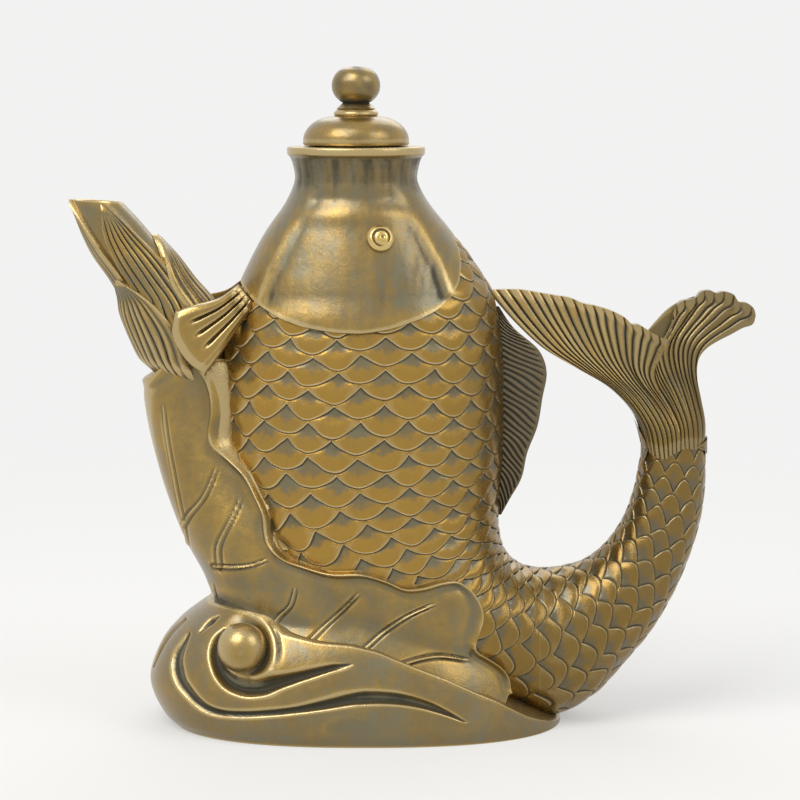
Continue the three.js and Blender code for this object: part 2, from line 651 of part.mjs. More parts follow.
// Tail fin: two ribbed lobes from one root, the far face fuller between them
function makeTailFin() {
  const columns = 2 * TAIL_RIBS;
  const rows = 7;
  const root = [TAIL_INNER_EDGE[0], TAIL_OUTER_EDGE[0]];
  const depthAt = (v, u) => {
    const bulge = Math.sqrt(Math.max(0, 1 - (2 * v - 1) ** 2));
    const bladeDepth = mix(TAIL_BLADE_HALF_DEPTH, TAIL_EDGE_HALF_DEPTH, u) * (0.6 + 0.4 * bulge);
    return TAIL_SKIN + mix(TAIL_ROOT_HALF_DEPTH * bulge, bladeDepth, smooth(u, 0, 0.4));
  };
  const face = (top, side) => {
    const surface = stretched(TAIL_INNER_EDGE, TAIL_OUTER_EDGE, root, top);
    return gridOf(rows, columns, (i, j) => {
      const [v, u] = [j / columns, i / rows];
      const point = surface(v, u);
      point.y = side * (depthAt(v, u) + (j % 2) * TAIL_RIB_RELIEF * smooth(u, 0, 0.15));
      return point;
    });
  };
  const fin = solid(blade(face(TAIL_NEAR_TOP, -1), face(TAIL_FAR_TOP, 1)));
  return cut(fin, fishEnvelope, headEnvelope);
}

function makeDorsalFin() {
  const columns = 2 * DORSAL_RIBS;
  const rows = 4;
  const [upper, lower] = [0, -1].map((end) => [DORSAL_ROOT.at(end), DORSAL_EDGE.at(end)]);
  const surface = stretched(upper, lower, DORSAL_ROOT, DORSAL_EDGE);
  const face = (side) => gridOf(rows, columns, (i, j) => {
    const point = surface(j / columns, i / rows);
    const thickness = DORSAL_HALF_THICKNESS * mix(1, DORSAL_EDGE_SHARE, i / rows);
    point.y = side * (thickness + (j % 2) * DORSAL_RIB_RELIEF);
    return point;
  });
  return cut(solid(blade(face(-1), face(1))), fishEnvelope, headEnvelope);
}

function makePectoralFin() {
  const columns = 2 * PECTORAL_RAYS;
  const rows = 6;
  const root = [PECTORAL_LOWER[0], PECTORAL_UPPER[0]];
  const surface = stretched(PECTORAL_LOWER, PECTORAL_UPPER, root, PECTORAL_TIP);
  const face = (lift) => gridOf(rows, columns, (i, j) => {
    const u = i / rows;
    const point = surface(j / columns, u);
    const thickness = PECTORAL_THICKNESS * mix(PECTORAL_ROOT_SHARE, PECTORAL_TIP_SHARE, u);
    const middle = mix(PECTORAL_ROOT_Y, PECTORAL_TIP_Y, Math.sin((u * Math.PI) / 2));
    point.y = middle - lift * (thickness - ((j + 1) % 2) * PECTORAL_RAY_RELIEF);
    return point;
  });
  const fin = solid(blade(face(1), face(-PECTORAL_BACK_SHARE)));
  const bud = spoutSilhouette(CLEARANCE, CLEARANCE);
  return cut(fin, fishEnvelope, headEnvelope, leafEnvelope, bud);
}

// Lid: dome, spigot, ring and knob on a rivet
const LID_SEAT_Z = LIP_TOP_Z + CLEARANCE;
const LID_TOP_Z = LID_SEAT_Z + LID_HEIGHT;
const RING_Z = LID_TOP_Z + CLEARANCE;
const KNOB_Z = RING_Z + KNOB_RING_THICKNESS + CLEARANCE;
const KNOB_MIDDLE_Z = KNOB_Z + KNOB_NECK_HEIGHT + KNOB_HALF_HEIGHT * KNOB_FLAT;
const SPIGOT_RADIUS = NECK_BORE_RADIUS - SPIGOT_FIT;
const RIVET_HOLE_RADIUS = RIVET_RADIUS + CLEARANCE;

// Curve of the dome from its edge to its flat top
function domeLine(radius, low, flat, high, steps) {
  return Array.from({ length: steps + 1 }, (_, i) => {
    const angle = (i / steps) * (Math.PI / 2);
    return [mix(radius, flat, 1 - Math.cos(angle)), mix(low, high, Math.sin(angle))];
  });
}

function makeLidDome() {
  const outer = domeLine(LID_RADIUS, LID_SEAT_Z + LID_EDGE, LID_FLAT_RADIUS, LID_TOP_Z, 6);
  const inside = SPIGOT_RADIUS - SPIGOT_WALL;
  const [innerFlat, innerTop] = [LID_FLAT_RADIUS - LID_WALL, LID_TOP_Z - LID_WALL];
  const inner = domeLine(inside, LID_SEAT_Z + LID_EDGE / 2, innerFlat, innerTop, 3);
  return turned([
    [RIVET_HOLE_RADIUS, innerTop], ...inner.reverse(), [inside, LID_SEAT_Z],
    [LID_RADIUS, LID_SEAT_Z], ...outer, [RIVET_HOLE_RADIUS, LID_TOP_Z],
    [RIVET_HOLE_RADIUS, innerTop],
  ]);
}

function makeLidSpigot() {
  const top = LID_SEAT_Z - CLEARANCE;
  const low = top - SPIGOT_DEPTH;
  const inside = SPIGOT_RADIUS - SPIGOT_WALL;
  return turned([
    [inside, low], [SPIGOT_RADIUS - 0.5, low], [SPIGOT_RADIUS, low + 0.7], [SPIGOT_RADIUS, top],
    [inside, top], [inside, low],
  ]);
}

function makeKnobRing() {
  const top = RING_Z + KNOB_RING_THICKNESS;
  return turned([
    [RIVET_HOLE_RADIUS, RING_Z], [KNOB_RING_RADIUS - 0.5, RING_Z],
    [KNOB_RING_RADIUS, RING_Z + KNOB_RING_THICKNESS / 2], [KNOB_RING_RADIUS - 0.6, top],
    [RIVET_HOLE_RADIUS, top], [RIVET_HOLE_RADIUS, RING_Z],
  ]);
}

function makeLidKnob() {
  const steps = 7;
  const start = Math.asin(-KNOB_FLAT);
  const ball = Array.from({ length: steps - 1 }, (_, i) => {
    const angle = mix(start, Math.PI / 2, (i + 1) / steps);
    return [KNOB_RADIUS * Math.cos(angle), KNOB_MIDDLE_Z + KNOB_HALF_HEIGHT * Math.sin(angle)];
  });
  const holeTop = KNOB_Z + RIVET_REACH;
  return turned([
    [RIVET_HOLE_RADIUS, KNOB_Z], [KNOB_NECK_RADIUS, KNOB_Z],
    [KNOB_NECK_RADIUS * 0.92, KNOB_Z + KNOB_NECK_HEIGHT / 2], ...ball,
    [0, KNOB_MIDDLE_Z + KNOB_HALF_HEIGHT], [0, holeTop], [RIVET_HOLE_RADIUS, holeTop],
    [RIVET_HOLE_RADIUS, KNOB_Z],
  ]);
}

function makeKnobRivet() {
  const headTop = LID_TOP_Z - LID_WALL - CLEARANCE;
  const top = KNOB_Z + RIVET_REACH - CLEARANCE;
  return turned([
    [0, headTop - RIVET_HEAD_THICKNESS], [RIVET_HEAD_RADIUS * 0.8, headTop - RIVET_HEAD_THICKNESS],
    [RIVET_HEAD_RADIUS, headTop], [RIVET_RADIUS, headTop], [RIVET_RADIUS, top], [0, top],
  ], MOUTH_X, STUD_AROUND);
}

// Finishes
const finish = (color, roughness) => new THREE.MeshStandardMaterial({ color, roughness, metalness: 1 });
const bronze = finish(0x8f7a4a, 0.42);
const paleBronze = finish(0xa48b55, 0.36);
const darkBronze = finish(0x6f6444, 0.5);

const pectoralFin = makePectoralFin();
const eye = makeEye();
const upperPetal = makePetal(UPPER_PETAL);
const lowerPetal = cut(makePetal(LOWER_PETAL), leafEnvelope, fishEnvelope);

const pieces = [
  ['fish_body', makeFishBody(), bronze],
  ['fish_head', makeHead(), bronze],
  ['tail_root', makeTailRoot(), bronze],
  ['tail_fin', makeTailFin(), bronze],
  ['dorsal_fin', makeDorsalFin(), darkBronze],
  ['pectoral_fin_near', pectoralFin, paleBronze],
  ['pectoral_fin_far', mirrored(pectoralFin), paleBronze],
  ['eye_near', eye, paleBronze],
  ['eye_far', mirrored(eye), paleBronze],
  ['spout_tube', makeSpoutTube(), bronze],
  ['spout_petal_upper_near', upperPetal, paleBronze],
  ['spout_petal_upper_far', mirrored(upperPetal), paleBronze],
  ['spout_petal_lower_near', lowerPetal, paleBronze],
  ['spout_petal_lower_far', mirrored(lowerPetal), paleBronze],
  ['spout_petal_side', makePetal(SIDE_PETAL), paleBronze],
  ['spout_petal_inner', makePetal(INNER_PETAL), paleBronze],
  ['lotus_leaf', makeLeaf(), paleBronze],
  ['wave_base', makeWaveBase(), bronze],
  ['bottom_plate', makeBottomPlate(), darkBronze],
  ['lid_dome', makeLidDome(), bronze],
  ['lid_spigot', makeLidSpigot(), darkBronze],
  ['knob_ring', makeKnobRing(), paleBronze],
  ['lid_knob', makeLidKnob(), bronze],
  ['knob_rivet', makeKnobRivet(), darkBronze],
];

const ewer = new THREE.Group();
for (const [name, shape, material] of pieces) {
  const geometry = shape instanceof THREE.BufferGeometry ? shape : finished(shape);
  const mesh = new THREE.Mesh(geometry, material);
  mesh.name = name;
  ewer.add(mesh);
}

export default ewer;
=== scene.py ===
"""Looks of a small cast bronze wine ewer in the form of a leaping carp.

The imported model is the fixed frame. Lengths are millimetres in the row frame until a mesh is
made: +X towards the handle, +Z up, -Y the near flank. Both flanks carry the same relief.
"""

from __future__ import annotations

import logging
import math
from dataclasses import dataclass, field
from enum import Enum
from typing import Any, Callable, Sequence

import bpy
import numpy as np
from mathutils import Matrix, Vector
from mathutils.bvhtree import BVHTree

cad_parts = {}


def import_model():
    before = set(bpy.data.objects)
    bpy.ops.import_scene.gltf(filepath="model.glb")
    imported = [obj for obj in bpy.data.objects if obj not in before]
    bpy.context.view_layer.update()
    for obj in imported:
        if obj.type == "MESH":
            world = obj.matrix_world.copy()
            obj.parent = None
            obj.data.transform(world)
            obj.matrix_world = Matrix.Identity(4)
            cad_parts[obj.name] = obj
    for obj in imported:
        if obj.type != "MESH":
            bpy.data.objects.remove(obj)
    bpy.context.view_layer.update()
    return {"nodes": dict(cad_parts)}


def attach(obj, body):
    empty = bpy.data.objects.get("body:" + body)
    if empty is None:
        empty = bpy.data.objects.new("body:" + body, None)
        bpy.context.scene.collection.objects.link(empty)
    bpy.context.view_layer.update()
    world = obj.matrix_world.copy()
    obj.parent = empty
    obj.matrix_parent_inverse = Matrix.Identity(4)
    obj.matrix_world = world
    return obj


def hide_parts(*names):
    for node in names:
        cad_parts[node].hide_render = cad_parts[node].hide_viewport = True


log = logging.getLogger("wine_ewer")

MM = 0.001
TURN = 2 * math.pi
Array = np.ndarray
Points = Sequence[Sequence[float]]

# Mouth and lid
MOUTH_X = -13.85
LIP_RADIUS = 17.05
LIP_TOP_Z = 143.6
LIP_THICKNESS = 1.6
NECK_BORE_RADIUS = 12.4
NECK_RADIUS = 15.15
LID_RADIUS = 13.1
LID_HEIGHT = 7.2
CLEARANCE = 0.3


def round_section(z: float, radius: float) -> list[float]:
    """Section of the round neck at one height."""
    return [MOUTH_X + radius, z, MOUTH_X - radius, z, radius]


# Sections from the top down: right x, right z, left x, left z, half depth
FISH_SECTIONS = [
    [9.4, 121.5, -34.8, 121.5, 15.5],
    [12.3, 116.5, -37.6, 116.5, 18.2],
    [15.4, 112.0, -40.2, 112.0, 20.4],
    [18.4, 108, -42.6, 108, 22.8],
    [22.0, 98, -46.6, 98, 24.4],
    [22.8, 80.5, -48.5, 80.5, 25.2],
    [22.6, 66, -47.8, 62, 25.5],
    [21.7, 55, -43.5, 43, 25.4],
    [21.8, 48.5, -34, 27, 25],
    [22.6, 44.2, -18, 13.5, 23.8],
    [24.7, 40.7, 4, 6.5, 21.8],
    [28, 38.5, 21, 3, 19.6],
    [32.3, 37.7, 36, 0.9, 17.4],
    [37.8, 38.2, 45.5, 5.5, 15.3],
    [43.3, 39.9, 53.7, 14.2, 13.3],
    [48.3, 43.7, 61, 23.3, 11.4],
    [52.6, 49.6, 67.5, 35.5, 9.7],
    [55.3, 56.5, 71.9, 48.3, 8.5],
    [56.7, 62.8, 73.4, 58.5, 7.6],
    [57.8, 69.4, 73.4, 69.4, 7],
]
HEAD_SECTIONS = [
    round_section(LIP_TOP_Z, LIP_RADIUS),
    round_section(LIP_TOP_Z - LIP_THICKNESS, LIP_RADIUS),
    round_section(LIP_TOP_Z - LIP_THICKNESS - 1.2, LIP_RADIUS - 0.9),
    round_section(138, NECK_RADIUS + 0.2),
    round_section(135.3, NECK_RADIUS),
    [3.7, 130.4, -31, 130.4, 16.9],
    [9.4, 123, -36.2, 123, 19.8],
    [15, 115.5, -40.3, 115.5, 22.2],
    [19.4, 108, -43.8, 108, 24.2],
    [23.4, 98, -48, 98, 25.8],
    [24.2, 94, -49, 94, 26.2],
]
THROAT_SECTIONS = [
    round_section(LIP_TOP_Z, NECK_BORE_RADIUS),
    round_section(139, NECK_BORE_RADIUS),
    round_section(134, NECK_BORE_RADIUS),
    [1, 130.4, -28.4, 130.4, 14.2],
    [6.8, 123, -33.6, 123, 17.2],
    [12.4, 115.5, -37.7, 115.5, 19.6],
    [14.2, 112.5, -39, 112.5, 20.3],
]
SPOUT_SECTIONS = [
    [-70.4, 129.7, -85.5, 130.7, 7.2],
    [-66.5, 125.6, -83.6, 126.2, 8],
    [-63, 121.6, -81.4, 120.8, 8.9],
    [-58, 116.3, -78.8, 115.5, 9.9],
    [-53, 110.8, -76.2, 110.6, 10.8],
    [-49, 106.3, -74, 106.5, 11.4],
    [-46, 101.5, -73, 102.5, 11.9],
    [-43.5, 96, -71.3, 98, 12.3],
    [-41.5, 90, -69.1, 93, 12.7],
    [-39.5, 83, -66.6, 88, 13.2],
    [-38, 75, -65.4, 80, 14.2],
    [-33, 66, -63.7, 70, 16.2],
    [-26, 56, -60.3, 58, 19.6],
    [-12, 46, -56.4, 46.5, 23.4],
    [2, 36, -50.9, 36.5, 25.4],
    [8, 28, -50, 29, 25.6],
]
BORE_SECTIONS = [
    [-72.9, 131.5, -83.2, 132.3, 4.9],
    [-72.3, 127.5, -82.4, 128.2, 5],
    [-66.5, 119.8, -77.5, 118.6, 5.6],
    [-59.5, 110.5, -71.5, 108.2, 6.2],
    [-54, 101, -66.5, 98, 6.6],
    [-50, 91.5, -62.5, 86.5, 6.8],
]
BASE_SECTIONS = [
    [12, 31, -50.5, 31, 24],
    [20, 25, -58.4, 25, 28.5],
    [28, 19, -63.3, 19, 31.6],
    [34, 11, -66, 11, 33.6],
    [37, 3, -62.6, 3, 34.2],
    [37.5, 0, -59.6, 0, 33.2],
]

# Outlines on the near flank: x, z
GILL_EDGE = [
    (-80, 112), (-42.5, 110.6), (-38.2, 106.4), (-32.9, 103.3), (-26.9, 101.2), (-18.9, 99.9),
    (-12, 99.7), (-5.2, 100.7), (1.8, 102.9), (6.5, 105.3), (9.6, 108.0), (11.4, 111.2),
    (12.0, 115.5), (11.4, 119.2), (10.0, 121.6), (80, 121.6),
]
LEAF_EDGE = [
    (-64.7, 86), (-61, 88.2), (-57.6, 91.1), (-53, 92), (-48.1, 91.1), (-46.4, 88.9), (-45.4, 84.9),
    (-45, 80), (-45, 72.2), (-42.4, 68.5), (-39.4, 64.9), (-36.6, 59.7), (-34.4, 54.9), (-33.6, 50.6),
    (-32.6, 47.4), (-29.9, 44.8), (-26, 43.3), (-19.9, 41.8), (-12.4, 41.9), (-6.9, 40.2),
    (-2.8, 38.3), (1.1, 38.4), (5.7, 39.4), (9.2, 39.4), (12.9, 36.8), (15.7, 32.2), (16.3, 29),
    (15.2, 25), (14.7, 22), (17.3, 20), (20.7, 17.3), (22.5, 14.4), (23, 11.3),
]
LEAF_FOOT = [(-45, 25), (-31.7, 22), (-22.5, 21), (-8.3, 17.5), (8.7, 11.5), (20.7, 6.6)]
WAVE_CREST = [
    (-51, 30.5), (-47, 30.9), (-41, 30.9), (-36, 29.6), (-31.7, 26.4), (-22.5, 24.6), (-14.6, 24),
    (-8.3, 22.6), (0.1, 19.1), (8.7, 15.6), (13.3, 13.3), (20.7, 9.6), (28.8, 4.6), (37.5, 0.6),
]
SCROLL_BALL_X = -41.3
SCROLL_BALL_Z = 22.9
SCROLL_BALL_RADIUS = 6.1
CHEEK_LEFT = [(-24.5, 133), (-30, 123), (-34.5, 113.5), (-37, 106)]
CHEEK_RIGHT = [(-3.5, 134), (1, 126.5), (6.5, 116), (9, 109)]
TAIL_INNER_EDGE = [
    (57.8, 69.4), (55.5, 76.7), (49.5, 83.5), (40.7, 88.8), (32.7, 93.6), (25.6, 100.1), (18.5, 108.2),
]
TAIL_OUTER_EDGE = [
    (73.4, 69.4), (73.3, 75.1), (72.2, 80.5), (71.2, 85.0), (71.0, 88.6), (71.6, 91.3), (73.3, 93.5),
    (76.0, 95.3), (79.5, 97.1), (82.2, 98.6), (84.8, 99.6), (85.5, 101.6),
]
TAIL_TOP = [
    (18.5, 108.2), (26.8, 108.2), (31.2, 107.5), (36.1, 106.7), (39.2, 106.2), (42.3, 104.9),
    (45.8, 104.2), (49.8, 102.9), (53.0, 101.2), (54.7, 99.7), (56.1, 99.7), (58.3, 98.4),
    (60.5, 97.2), (62.3, 96.3), (63.9, 96.2), (64.3, 98.0), (64.6, 100.9), (65.4, 103.6),
    (66.8, 105.3), (68.4, 105.7), (70.6, 106.3), (71.9, 107.7), (74.1, 108.0), (75.7, 107.3),
    (77.2, 107.7), (79.9, 107.0), (81.2, 105.2), (83.2, 104.9), (84.9, 103.6), (85.5, 101.6),
]
TAIL_ROOT = [
    (57.8, 69.4), (59.5, 67.5), (62.6, 66.6), (64.8, 68.0), (67.7, 69.2), (70.3, 68.8), (73.4, 69.4),
]
DORSAL_ROOT = [(20.0, 104.2), (20.0, 90), (20.0, 75), (20.0, 62), (19.5, 51.4)]
DORSAL_EDGE = [
    (21.6, 104), (25.2, 98.8), (31.8, 92.8), (33.5, 87.8), (32.5, 81.3), (31.3, 74.2),
    (28.8, 67.4), (27.4, 61), (24.4, 55.4), (22.4, 51.6),
]
PECTORAL_LOWER = [(-38.4, 105.4), (-43.2, 98.8), (-47.1, 93.1), (-50.6, 88.7)]
PECTORAL_UPPER = [(-42.6, 110.2), (-47.1, 107.1), (-53.8, 105.4), (-57.5, 104.1)]
PECTORAL_TIP = [(-50.6, 88.7), (-54, 91.2), (-56.8, 94.9), (-58.4, 99), (-57.5, 104.1)]

# Leaf veins and single grooves on the near flank, each from its root to its fine end
LEAF_VEINS = [
    [(-50.5, 34), (-52.2, 42), (-53.2, 51), (-55.2, 62), (-56.6, 72), (-57.9, 82)],
    [(-53.4, 50.5), (-51.5, 54), (-48.5, 58.5), (-45.2, 66.3)],
    [(-44.3, 41.3), (-44.7, 47), (-41.1, 55.8), (-40.0, 59.3)],
    [(-45.3, 41.2), (-41.5, 41.7), (-37.5, 42.6), (-33.6, 44.4)],
    [(-33.5, 27), (-31, 30), (-28.4, 33), (-27.3, 38)],
    [(-25.6, 23.0), (-20.8, 27.6), (-16.5, 31.8), (-12.2, 37)],
    [(-13.5, 21), (-7, 26.4), (-1, 31), (5.5, 34.0)],
    [(-4.5, 18.6), (1, 20.3), (6.2, 20.8), (13.6, 19.2)],
]
LEAF_GROOVES = [
    [(-62.8, 72.5), (-60.4, 59.5), (-56.2, 48.2), (-52.7, 41)],
    [(-49.4, 36.4), (-48.2, 32.2)],
    [(-45.4, 36.4), (-45.4, 30.8)],
]


class Slot(Enum):
    """Material slots of the record."""

    AGED = "aged_bronze"
    WORN = "worn_bronze"
    # dark bronze: painted shade for the dorsal fin, and the finish of pieces hidden inside or underneath
    DARK = "dark_bronze"
    BRIGHT = "bright_brass"


class Flank(Enum):
    """Sides of the ewer, with the sign of their y."""

    NEAR = -1
    FAR = 1


def smooth_step(value: Array, low: float, high: float) -> Array:
    """Eased rise from 0 at low to 1 at high."""
    share = np.clip((value - low) / (high - low), 0, 1)
    return share * share * (3 - 2 * share)


def bump(value: Array, width: float) -> Array:
    """Bell that is 1 at zero and falls off over a width."""
    return np.exp(-((value / width) ** 2))


def softened(values: Array, times: int, wrap: bool) -> Array:
    """Average of each value with its neighbours along the first axis, several times over.

    Args:
        values: Samples in order along the first axis.
        times: How often to average.
        wrap: Whether the last sample is beside the first.

    Returns:
        The softened samples.
    """
    for _ in range(times):
        before = np.roll(values, 1, 0)
        after = np.roll(values, -1, 0)
        if not wrap:
            before[0] = values[0]
            after[-1] = values[-1]
        values = (before + 2 * values + after) / 4
    return values


class Spline:
    """Smooth curve through points, the centripetal one that the castings are drawn with."""

    def __init__(self, points: Points) -> None:
        """Keeps the points and a table of lengths along the curve.

        Args:
            points: What it goes through, in order.
        """
        self.points = np.array(points, float)
        self.shares = np.linspace(0, 1, 40 * len(points))
        steps = np.linalg.norm(np.diff(self.raw(self.shares), axis=0), axis=1)
        self.lengths = np.concatenate([[0.0], np.cumsum(steps)])

    def raw(self, share: Array) -> Array:
        """Points at shares of the list of points.

        Args:
            share: Shares, 0 at the first point and 1 at the last.

        Returns:
            A point for each share.
        """
        known = self.points
        last = len(known) - 1
        place = np.clip(np.asarray(share, float), 0, 1) * last
        i = np.minimum(place.astype(int), last - 1)
        weight = (place - i)[..., None]
        padded = np.vstack([2 * known[0] - known[1], known, 2 * known[-1] - known[-2]])
        a, b, c, d = (padded[i + k] for k in range(4))
        gap = [np.maximum(np.sqrt(np.linalg.norm(q - p, axis=-1, keepdims=True)), 1e-4)
               for p, q in ((a, b), (b, c), (c, d))]
        leave = (b - a) / gap[0] - (c - a) / (gap[0] + gap[1]) + (c - b) / gap[1]
        arrive = (c - b) / gap[1] - (d - b) / (gap[1] + gap[2]) + (d - c) / gap[2]
        leave = leave * gap[1]
        arrive = arrive * gap[1]
        square = -3 * b + 3 * c - 2 * leave - arrive
        cube = 2 * b - 2 * c + leave + arrive
        return b + leave * weight + square * weight ** 2 + cube * weight ** 3

    def at(self, share: Array) -> Array:
        """Points at shares of the curve's length."""
        wanted = np.asarray(share, float) * self.lengths[-1]
        return self.raw(np.interp(wanted, self.lengths, self.shares))


class Limb:
    """Casting whose cross-sections are ovals between a right and a left outline."""

    def __init__(self, sections: Points, squareness: float = 2.0) -> None:
        """Keeps the outlines as curves and how square the ovals are.

        Args:
            sections: Right x and z, left x and z, and half depth of each.
            squareness: 2 for ellipses, more for squarer ovals.
        """
        self.last = len(sections) - 1
        self.power = 2 / squareness
        self.right = Spline([(x, y, z) for x, z, _, _, y in sections])
        self.left = Spline([(x, y, z) for _, _, x, z, y in sections])

    def points(self, station: Any, angle: Any, offset: Any = 0.0) -> Array:
        """Points of the skin.

        Args:
            station: Place along the limb, in sections.
            angle: Angle round it, 0 at the right and a quarter turn on the near side.
            offset: Distance out from the skin.

        Returns:
            An array with one point for each station and angle.
        """
        station, angle, offset = np.broadcast_arrays(
            np.asarray(station, float), np.asarray(angle, float), np.asarray(offset, float))
        right = self.right.raw(station / self.last)
        left = self.left.raw(station / self.last)
        across = right - left
        across[..., 1] = 0
        width = np.linalg.norm(across, axis=-1)
        cosine, sine = np.cos(angle), np.sin(angle)
        bent = np.sign(cosine) * np.abs(cosine) ** self.power
        deep = np.sign(sine) * np.abs(sine) ** self.power
        point = (right + left) / 2 + across / width[..., None] * ((width / 2 + offset) * bent)[..., None]
        point[..., 1] = -(right[..., 1] + offset) * deep
        return point

    def grid(self, stations: Array, angles: Array, offset: Any = 0.0) -> Array:
        """Rings of points: one row for each station."""
        reach = np.broadcast_to(np.asarray(offset, float).reshape(-1, 1), (len(stations), 1))
        return self.points(stations[:, None], angles[None, :], reach)

    def middle_lengths(self, stations: Array) -> Array:
        """Lengths along the limb's middle.

        Args:
            stations: Places along it, in sections.

        Returns:
            The length from the first station to each.
        """
        middle = (self.right.raw(stations / self.last) + self.left.raw(stations / self.last)) / 2
        middle[:, 1] = 0
        steps = np.linalg.norm(np.diff(middle, axis=0), axis=1)
        return np.concatenate([[0.0], np.cumsum(steps)])


def directions(grid: Array) -> Array:
    """Unit directions out of a grid of points.

    Args:
        grid: Rows of points, each row once round a middle.

    Returns:
        One direction for each point, away from the middle of its row.
    """
    across = np.roll(grid, -1, 1) - np.roll(grid, 1, 1)
    normal = np.cross(across, np.gradient(grid, axis=0))
    normal /= np.maximum(np.linalg.norm(normal, axis=2, keepdims=True), 1e-9)
    away = grid - grid.mean(axis=1, keepdims=True)
    return normal if (normal * away).sum() > 0 else -normal


def line_distance(points: Array, line: Points) -> tuple[Array, Array, Array]:
    """Distance from points to a line on the flank.

    Args:
        points: Array of x, z pairs.
        line: Corners of the line.

    Returns:
        The distance, the share of the line's length at the nearest place, and the side (+ is left
        of the line's way).
    """
    corners = np.array(line, float)
    lengths = np.concatenate([[0.0], np.cumsum(np.linalg.norm(np.diff(corners, axis=0), axis=1))])
    best = np.full(len(points), 1e9)
    share = np.zeros(len(points))
    side = np.zeros(len(points))
    for i in range(len(corners) - 1):
        along = corners[i + 1] - corners[i]
        rel = points - corners[i]
        t = np.clip(rel @ along / (along @ along), 0, 1)
        gap = np.linalg.norm(rel - t[:, None] * along, axis=1)
        closer = gap < best
        best = np.where(closer, gap, best)
        share = np.where(closer, (lengths[i] + t * (lengths[i + 1] - lengths[i])) / lengths[-1], share)
        turn = along[0] * rel[:, 1] - along[1] * rel[:, 0]
        side = np.where(closer, np.sign(turn), side)
    return best, share, side


def inside_outline(points: Array, outline: Points) -> Array:
    """Whether points lie inside a closed outline.

    Args:
        points: Array of x, z pairs.
        outline: Corners of the outline.

    Returns:
        Whether each point does.
    """
    corners = np.array(outline, float)
    inside = np.zeros(len(points), bool)
    for a, b in zip(corners, np.roll(corners, -1, 0)):
        crosses = (a[1] > points[:, 1]) != (b[1] > points[:, 1])
        with np.errstate(divide="ignore", invalid="ignore"):
            x = (b[0] - a[0]) * (points[:, 1] - a[1]) / (b[1] - a[1]) + a[0]
        inside ^= crosses & (points[:, 0] < x)
    return inside


@dataclass(frozen=True)
class Scroll:
    """Groove cut in the wave's near flank: its line, its half widths and its depths along it."""

    line: Points
    widths: tuple[float, ...]
    depths: tuple[float, ...]

    def cut(self, flat: Array) -> Array:
        """Change of the surface: deepest at the lower wall, with a thin proud lip.

        Args:
            flat: Array of x, z pairs.

        Returns:
            How far out each point goes.
        """
        distance, share, side = line_distance(flat, Spline(self.line).at(np.linspace(0, 1, 90)))
        width = np.interp(share, np.linspace(0, 1, len(self.widths)), self.widths)
        depth = np.interp(share, np.linspace(0, 1, len(self.depths)), self.depths)
        across = np.clip(side * distance / width, -1, 1)
        trough = depth * np.exp(-(distance / width) ** 4) * (1 - 0.3 * across)
        lip = 0.17 * np.minimum(depth, 1) * bump(distance - width * 1.15 - 0.15, 0.45) * (side < 0)
        return lip - trough


SCROLLS = [
    Scroll([(-55.0, 24.4), (-57.5, 19.1), (-57.5, 16.6), (-56.6, 14.1), (-54.7, 11.9), (-52.2, 9.5),
            (-49.9, 8.2), (-46.9, 7.6), (-41.7, 7.7), (-35.3, 8.4), (-27.1, 9.6), (-19.8, 11.1),
            (-13.8, 12.3), (-9.0, 12.5), (-3.0, 12.0), (3.0, 10.5), (9.1, 7.9), (12.7, 5.9)],
           (0.3, 1.5, 1.15, 0.7, 0.7, 0.75, 1.1, 1.4, 1.2, 0.8, 0.2),
           (0.3, 0.9, 0.9, 0.8, 0.7, 0.8, 1.2, 1.5, 1.4, 1.0, 0.3)),
    Scroll([(-46.2, 26.5), (-47.9, 24.2), (-48.4, 21.6), (-47.7, 19.1), (-46.2, 16.9), (-43.9, 15.3),
            (-41.0, 14.6), (-37.3, 14.8), (-31.9, 16.2), (-25.9, 17.8), (-19.9, 19.3), (-14.8, 20.2)],
           (0.3, 0.8, 1.2, 1.8, 2.1, 2.0, 1.45, 1.15, 0.95, 0.7, 0.15),
           (0.5, 1.4, 2.1, 2.6, 2.8, 2.5, 1.9, 1.5, 1.2, 0.9, 0.2)),
    Scroll([(-47.8, 28.8), (-50.2, 27.0), (-52.2, 25.2)], (0.15, 0.45, 0.3, 0.15), (0.5, 0.9, 0.9, 0.3)),
    Scroll([(-56.4, 26.3), (-59.9, 22.8), (-62.5, 19.2), (-64.7, 14.3)], (0.15, 0.3, 0.35, 0.3, 0.15),
           (0.3, 0.6, 0.7, 0.6, 0.3)),
]


@dataclass
class Shape:
    """Closed surface before it becomes a mesh, in millimetres."""

    points: Array
    faces: list[list[int]]
    marks: dict[str, Array] = field(default_factory=dict)

    def mirrored(self) -> Shape:
        """The same shape on the other flank.

        Returns:
            A new shape.
        """
        flip = np.array([1, -1, 1])
        marks = {name: value * flip if value.ndim == 2 else value for name, value in self.marks.items()}
        return Shape(self.points * flip, [face[::-1] for face in self.faces], marks)

    def joined(self, other: Shape) -> Shape:
        """This shape and another as one.

        Args:
            other: The other one, whose missing marks count as 0.

        Returns:
            A new shape.
        """
        start = len(self.points)
        faces = self.faces + [[i + start for i in face] for face in other.faces]
        marks = {}
        for name in {**self.marks, **other.marks}:
            parts = [shape.marks.get(name, np.zeros(len(shape.points))) for shape in (self, other)]
            marks[name] = np.concatenate(parts)
        return Shape(np.vstack([self.points, other.points]), faces, marks)

    def facing_out(self) -> Shape:
        """Turns the faces outwards.

        Returns:
            This shape.
        """
        triangles = np.array([[face[0], face[k], face[k + 1]]
                              for face in self.faces for k in range(1, len(face) - 1)])
        a, b, c = (self.points[triangles[:, k]] for k in range(3))
        volume = np.einsum("ij,ij->i", a, np.cross(b, c)).sum()
        if volume < 0:
            self.faces = [face[::-1] for face in self.faces]
        return self


